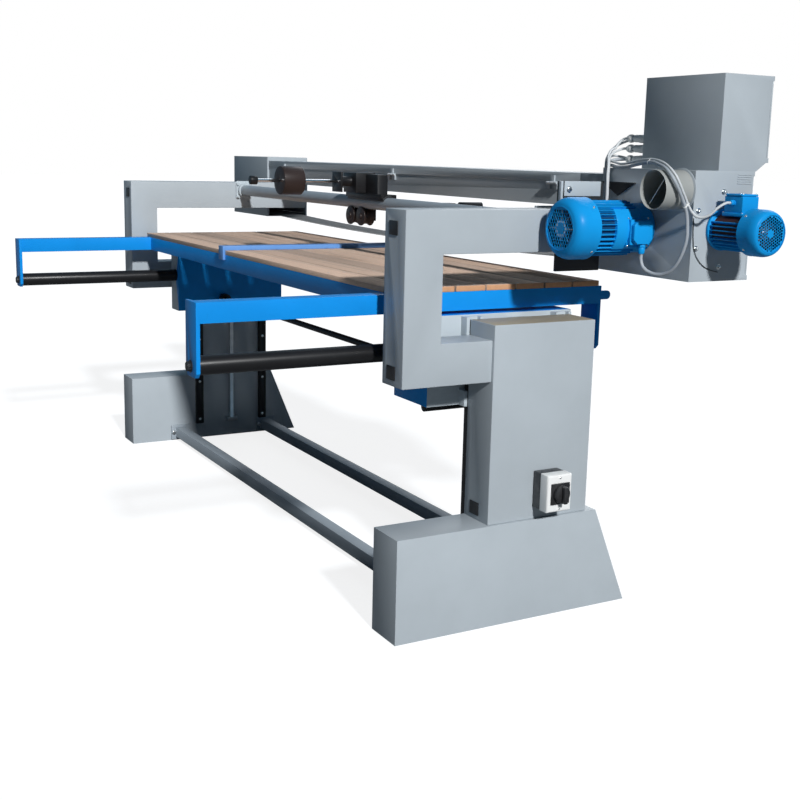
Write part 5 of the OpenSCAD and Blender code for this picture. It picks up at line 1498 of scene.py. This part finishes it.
@dataclass
class Isolator(Assembly):
    """Rotary main switch on the drive end column: dark base, white cover and black handle."""

    side: float = 94.0
    tall: float = 121.0
    first: float = 497.0
    low: float = 375.0

    def build(self) -> None:
        """Makes the base, the cover, its plate and the turning handle."""
        base = [Bench.block(drive(-30.5, self.first + 1, self.low + 1),
                            drive(10, self.first + self.side - 1, self.low + self.tall - 1), 0.003, 3)]
        for back in (0.3, 0.7):
            for height in (self.low, self.low + self.tall - 1.6):
                base.append(Bench.rod(drive(-11, self.first + self.side * back, height), Axis.Z, 0.011,
                                      0.0016, 0.0004, 32, 1))
        self.piece(base, "isolator_base", "panel_grey")
        case = Bench.block(drive(-67, self.first, self.low),
                           drive(-30, self.first + self.side, self.low + self.tall))
        with Bench.editing(case):
            Bench.pick(case, lambda f: f.normal.x < -0.9)
            bpy.ops.mesh.inset(thickness=0.004, depth=0)
            bpy.ops.transform.translate(value=(-0.004, 0, 0))
        Bench.soften(case, 0.0022, 4)
        self.piece(case, "isolator_case", "white", "isolator_box")
        middle = drive(-71, self.first + self.side / 2, self.low + self.tall / 2)
        plate = Bench.block(middle + Vector((-0.006, -0.035, -0.034)),
                            middle + Vector((0.001, 0.035, 0.034)), 0.0018, 3)
        self.piece(plate, "isolator_plate", "black_plastic")
        knob = Bench.turned([(0.0285, 0.0065), (0.029, 0.0085), (0.0288, 0.0165), (0.0265, 0.0195),
                             (0.023, 0.0205)], middle, Axis.MINUS_X, 56)
        grip = Bench.block(middle + Vector((-0.036, -0.007, -0.027)),
                           middle + Vector((-0.018, 0.007, 0.027)), 0.003, 4)
        self.piece([knob, grip], "isolator_handle", "black_plastic", "isolator_knob", body="isolator")
        screws = [Hardware.screw(middle + Vector((0.0002, 0, z)), OUTWARD, 0.0035) for z in (-0.05, 0.05)]
        self.piece(screws, "isolator_screws", "plated")


@dataclass
class Fittings(Assembly):
    """Bolts, louvres, hinge leaves and other small pieces on the sheet metal."""

    def build(self) -> None:
        """Makes the small pieces."""
        self.nuts_and_louvres()
        self.earth_wire()
        self.latches()
        self.motor_plate()
        self.mushroom()
        self.tube_nuts()

    def nuts_and_louvres(self) -> None:
        """Makes the cap nuts round the fan motor and the louvres on the drive housing's end face."""
        bolts, circle = [], 0.111
        for k in range(6):
            a = math.radians(30 + 60 * k)
            spot = FAN_NOSE + Vector((0, math.cos(a), math.sin(a))) * circle
            bolts.append(Hardware.dome_nut(spot, OUTWARD, 0.010))
        self.piece(bolts, "drive_housing_bolts", "plated")
        bars, pitch = [], 6.6
        for k in range(5):
            bars.append(Bench.block(drive(-324.6, 952, 1410 + pitch * k),
                                    drive(-322.5, 1008, 1413 + pitch * k), 0.0008))
        self.piece(bars, "drive_housing_louvres", "grey")

    def motor_plate(self) -> None:
        """Makes the bare facing of the motor plate, its flange and its bolt."""
        plate = Bench.block(drive(8.2, 705, 1360), drive(10.2, 564, 1405.4), 0.0006)
        flange = Bench.block(drive(-2.6, 551.4, 1347), drive(10.4, 543.4, 1405.4), 0.0008)
        self.piece([plate, flange], "motor_plate_facing", "bracket")
        bolt = Hardware.hex_bolt(drive(8.2, 582, 1380), OUTWARD, 0.013)
        self.piece(bolt, "motor_plate_bolt", "plated")

    def mushroom(self) -> None:
        """Makes the emergency stop's mushroom head."""
        profile = [(0.011, -0.024), (0.011, 0.0092), (0.0125, 0.0100), (0.013, 0.0115), (0.0195, 0.0125),
                   (0.020, 0.016), (0.019, 0.021), (0.015, 0.0248), (0.008, 0.026)]
        stop = Bench.turned(profile, drive(-200, 1066, 1638), Axis.MINUS_Y, 48)
        self.piece(stop, "emergency_mushroom", "red", "emergency_stop", body="stop")

    def tube_nuts(self) -> None:
        """Makes the nuts at the ends of the table's guide tubes."""
        nuts = []
        for end in End:
            for back, way in ((887, -BACKWARD), (-552, BACKWARD)):
                nuts.append(Hardware.hex_bolt(at(end, 250, back, 864), way, 0.026))
        self.piece(nuts, "table_tube_nuts", "dark", body="table")

    def earth_wire(self) -> None:
        """Draws the thin wire on the drive housing's end face."""
        places = ((-325, 787, 1310), (-326, 787, 1280), (-326, 790, 1245), (-326, 797, 1215),
                  (-326, 823, 1179), (-326, 860, 1158), (-325, 897, 1149))
        Bench.only(Bench.tube("earth_wire", [drive(*place) for place in places], 0.0022, 3))
        bpy.ops.object.convert(target="MESH")
        self.piece(bpy.context.active_object, "earth_wire", "black_plastic")

    def latches(self) -> None:
        """Makes the stainless hinge leaves on the back of the belt guard."""
        upper, lower = [], []
        for x in (1220.0, 71.0, -1076.0):
            upper.append(self.leaf(x, 11.4, 11.6, (792.2, 1396), (790.2, 1405)))
            for side in (-1, 1):
                lower.append(self.leaf(x + side * 21.0, 8.8, 8.9, (795.2, 1380), (793.2, 1390)))
        # The leaves' pale matt paint is painted reflection of the sky in the stainless steel.
        self.piece(upper, "cover_hinge_leaves", "nickel", body="guard_cover")
        self.piece(lower, "beam_hinge_leaves", "nickel")

    @staticmethod
    def leaf(x: float, half: float, pin: float, low: tuple[float, float], high: tuple[float, float]
             ) -> Object:
        """Returns one leaf of a hinge with its barrel.

        Args:
            x: Its middle along the machine, in mm.
            half: Half the leaf's width.
            pin: Half the barrel's length.
            low: Setback and height of one corner of the leaf.
            high: Setback and height of the other corner.
        """
        plate = Bench.block(along(x - half, *low), along(x + half, *high), 0.0006, 2)
        barrel = Bench.rod(along(x - pin, 787, 1391), Axis.X, 0.0052, 2 * pin * MM, 0.0006, 20)
        return Bench.join([plate, barrel])


WHITE = (1.0, 1.0, 1.0)
SKY = (0.5, 0.84, 1.15)


@dataclass
class Studio:
    """Pale floor, soft light and the camera at the photograph's place."""

    focal_px: float = 1154.508
    centre_px: tuple[float, float] = (402.933, 376.946)
    place: Triple = (-4.2952, 1.9098, 1.4679)
    yaw: float = 60.4523
    pitch: float = -10.8150
    roll: float = 1.3770
    size_px: float = 800.0
    sensor: float = 36.0
    floor_paint: Triple = (0.26, 0.275, 0.29)
    floor_glow: float = 0.84

    def build(self) -> None:
        """Makes the floor, world, lamps and camera."""
        self.floor()
        self.world(0.052, 0.3)
        self.sun("key", Vector((0.85, -0.11, -0.52)), 3.6, 4.0)
        self.sun("operator_side", Vector((-0.5, 0.75, -0.42)), 1.1, 50.0)
        self.camera()
        bpy.context.scene.view_settings.view_transform = "Standard"

    def floor(self) -> None:
        """Lays a wide pale floor that shows white and keeps the shadow."""
        bpy.ops.mesh.primitive_plane_add(size=120.0, location=(0, 0, -0.0005))
        plane = bpy.context.active_object
        plane.name = "studio_floor"
        material = bpy.data.materials.new("studio_floor")
        material.use_nodes = True
        g = Graph(material.node_tree)
        seen = g.node("LightPath").outputs["Is Camera Ray"]
        paint = g.node("BsdfDiffuse", {0: self.floor_paint})
        glow = g.node("Emission", {0: WHITE, 1: g.math("MULTIPLY", seen, self.floor_glow)})
        both = g.node("AddShader", {0: paint.outputs[0], 1: glow.outputs[0]})
        g.node("OutputMaterial", {0: both.outputs[0]})
        plane.data.materials.append(material)

    @staticmethod
    def world(soft: float, shine: float) -> None:
        """Sets an even sky: white to the camera, pale blue and weak as light and in reflections.

        Args:
            soft: Strength as light on the surfaces.
            shine: Strength in reflections.
        """
        world = bpy.data.worlds.new("studio")
        bpy.context.scene.world = world
        world.use_nodes = True
        g = Graph(world.node_tree)
        path = g.node("LightPath").outputs
        strength = g.math("MULTIPLY", path["Is Glossy Ray"], shine)
        for other in (soft, path["Is Transmission Ray"], path["Is Camera Ray"]):
            strength = g.math("MAXIMUM", strength, other)
        tint = g.mix(path["Is Camera Ray"], SKY, WHITE)
        g.node("OutputWorld", {0: g.node("Background", {0: tint, 1: strength}).outputs[0]})

    @staticmethod
    def sun(name: str, way: Vector, strength: float, spread: float) -> None:
        """Adds a soft lamp that shines along a direction."""
        lamp = bpy.data.lights.new(name, "SUN")
        lamp.energy = strength
        lamp.angle = math.radians(spread)
        obj = bpy.data.objects.new(name, lamp)
        bpy.context.scene.collection.objects.link(obj)
        obj.rotation_euler = (-UP).rotation_difference(way.normalized()).to_euler()

    def camera(self) -> None:
        """Sets the camera from the fitted place, direction and focal length."""
        yaw, pitch, roll = (math.radians(v) for v in (self.yaw, self.pitch, self.roll))
        look = Vector((math.sin(yaw) * math.cos(pitch), -math.cos(yaw) * math.cos(pitch), math.sin(pitch)))
        right = look.cross(UP).normalized()
        up = right.cross(look)
        right, up = (right * math.cos(roll) + up * math.sin(roll),
                     up * math.cos(roll) - right * math.sin(roll))
        data = bpy.data.cameras.new("photo_camera")
        data.sensor_width = self.sensor
        data.lens = self.focal_px * self.sensor / self.size_px
        data.shift_x = (self.size_px / 2 - self.centre_px[0]) / self.size_px
        data.shift_y = (self.centre_px[1] - self.size_px / 2) / self.size_px
        data.clip_end = 200.0
        obj = bpy.data.objects.new("photo_camera", data)
        bpy.context.scene.collection.objects.link(obj)
        basis = Matrix((right, up, -look)).transposed().to_4x4()
        obj.matrix_world = Matrix.Translation(Vector(self.place)) @ basis
        bpy.context.scene.camera = obj


def keep_sizes() -> None:
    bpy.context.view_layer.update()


def main() -> None:
    """Builds the camera and cables first, then every sub-assembly."""
    logging.basicConfig(level=logging.INFO, format="%(name)s: %(message)s")
    palette = Palette()
    Studio().build()
    Wiring(palette).build()
    for assembly in (Carcass(palette), SlattedTop(palette), SandingBelt(palette), Drive(palette),
                     DustPipe(palette), Isolator(palette), Fittings(palette)):
        assembly.build()
        LOG.info("%s done", type(assembly).__name__)
    keep_sizes()


if __name__ == "__main__":
    main()
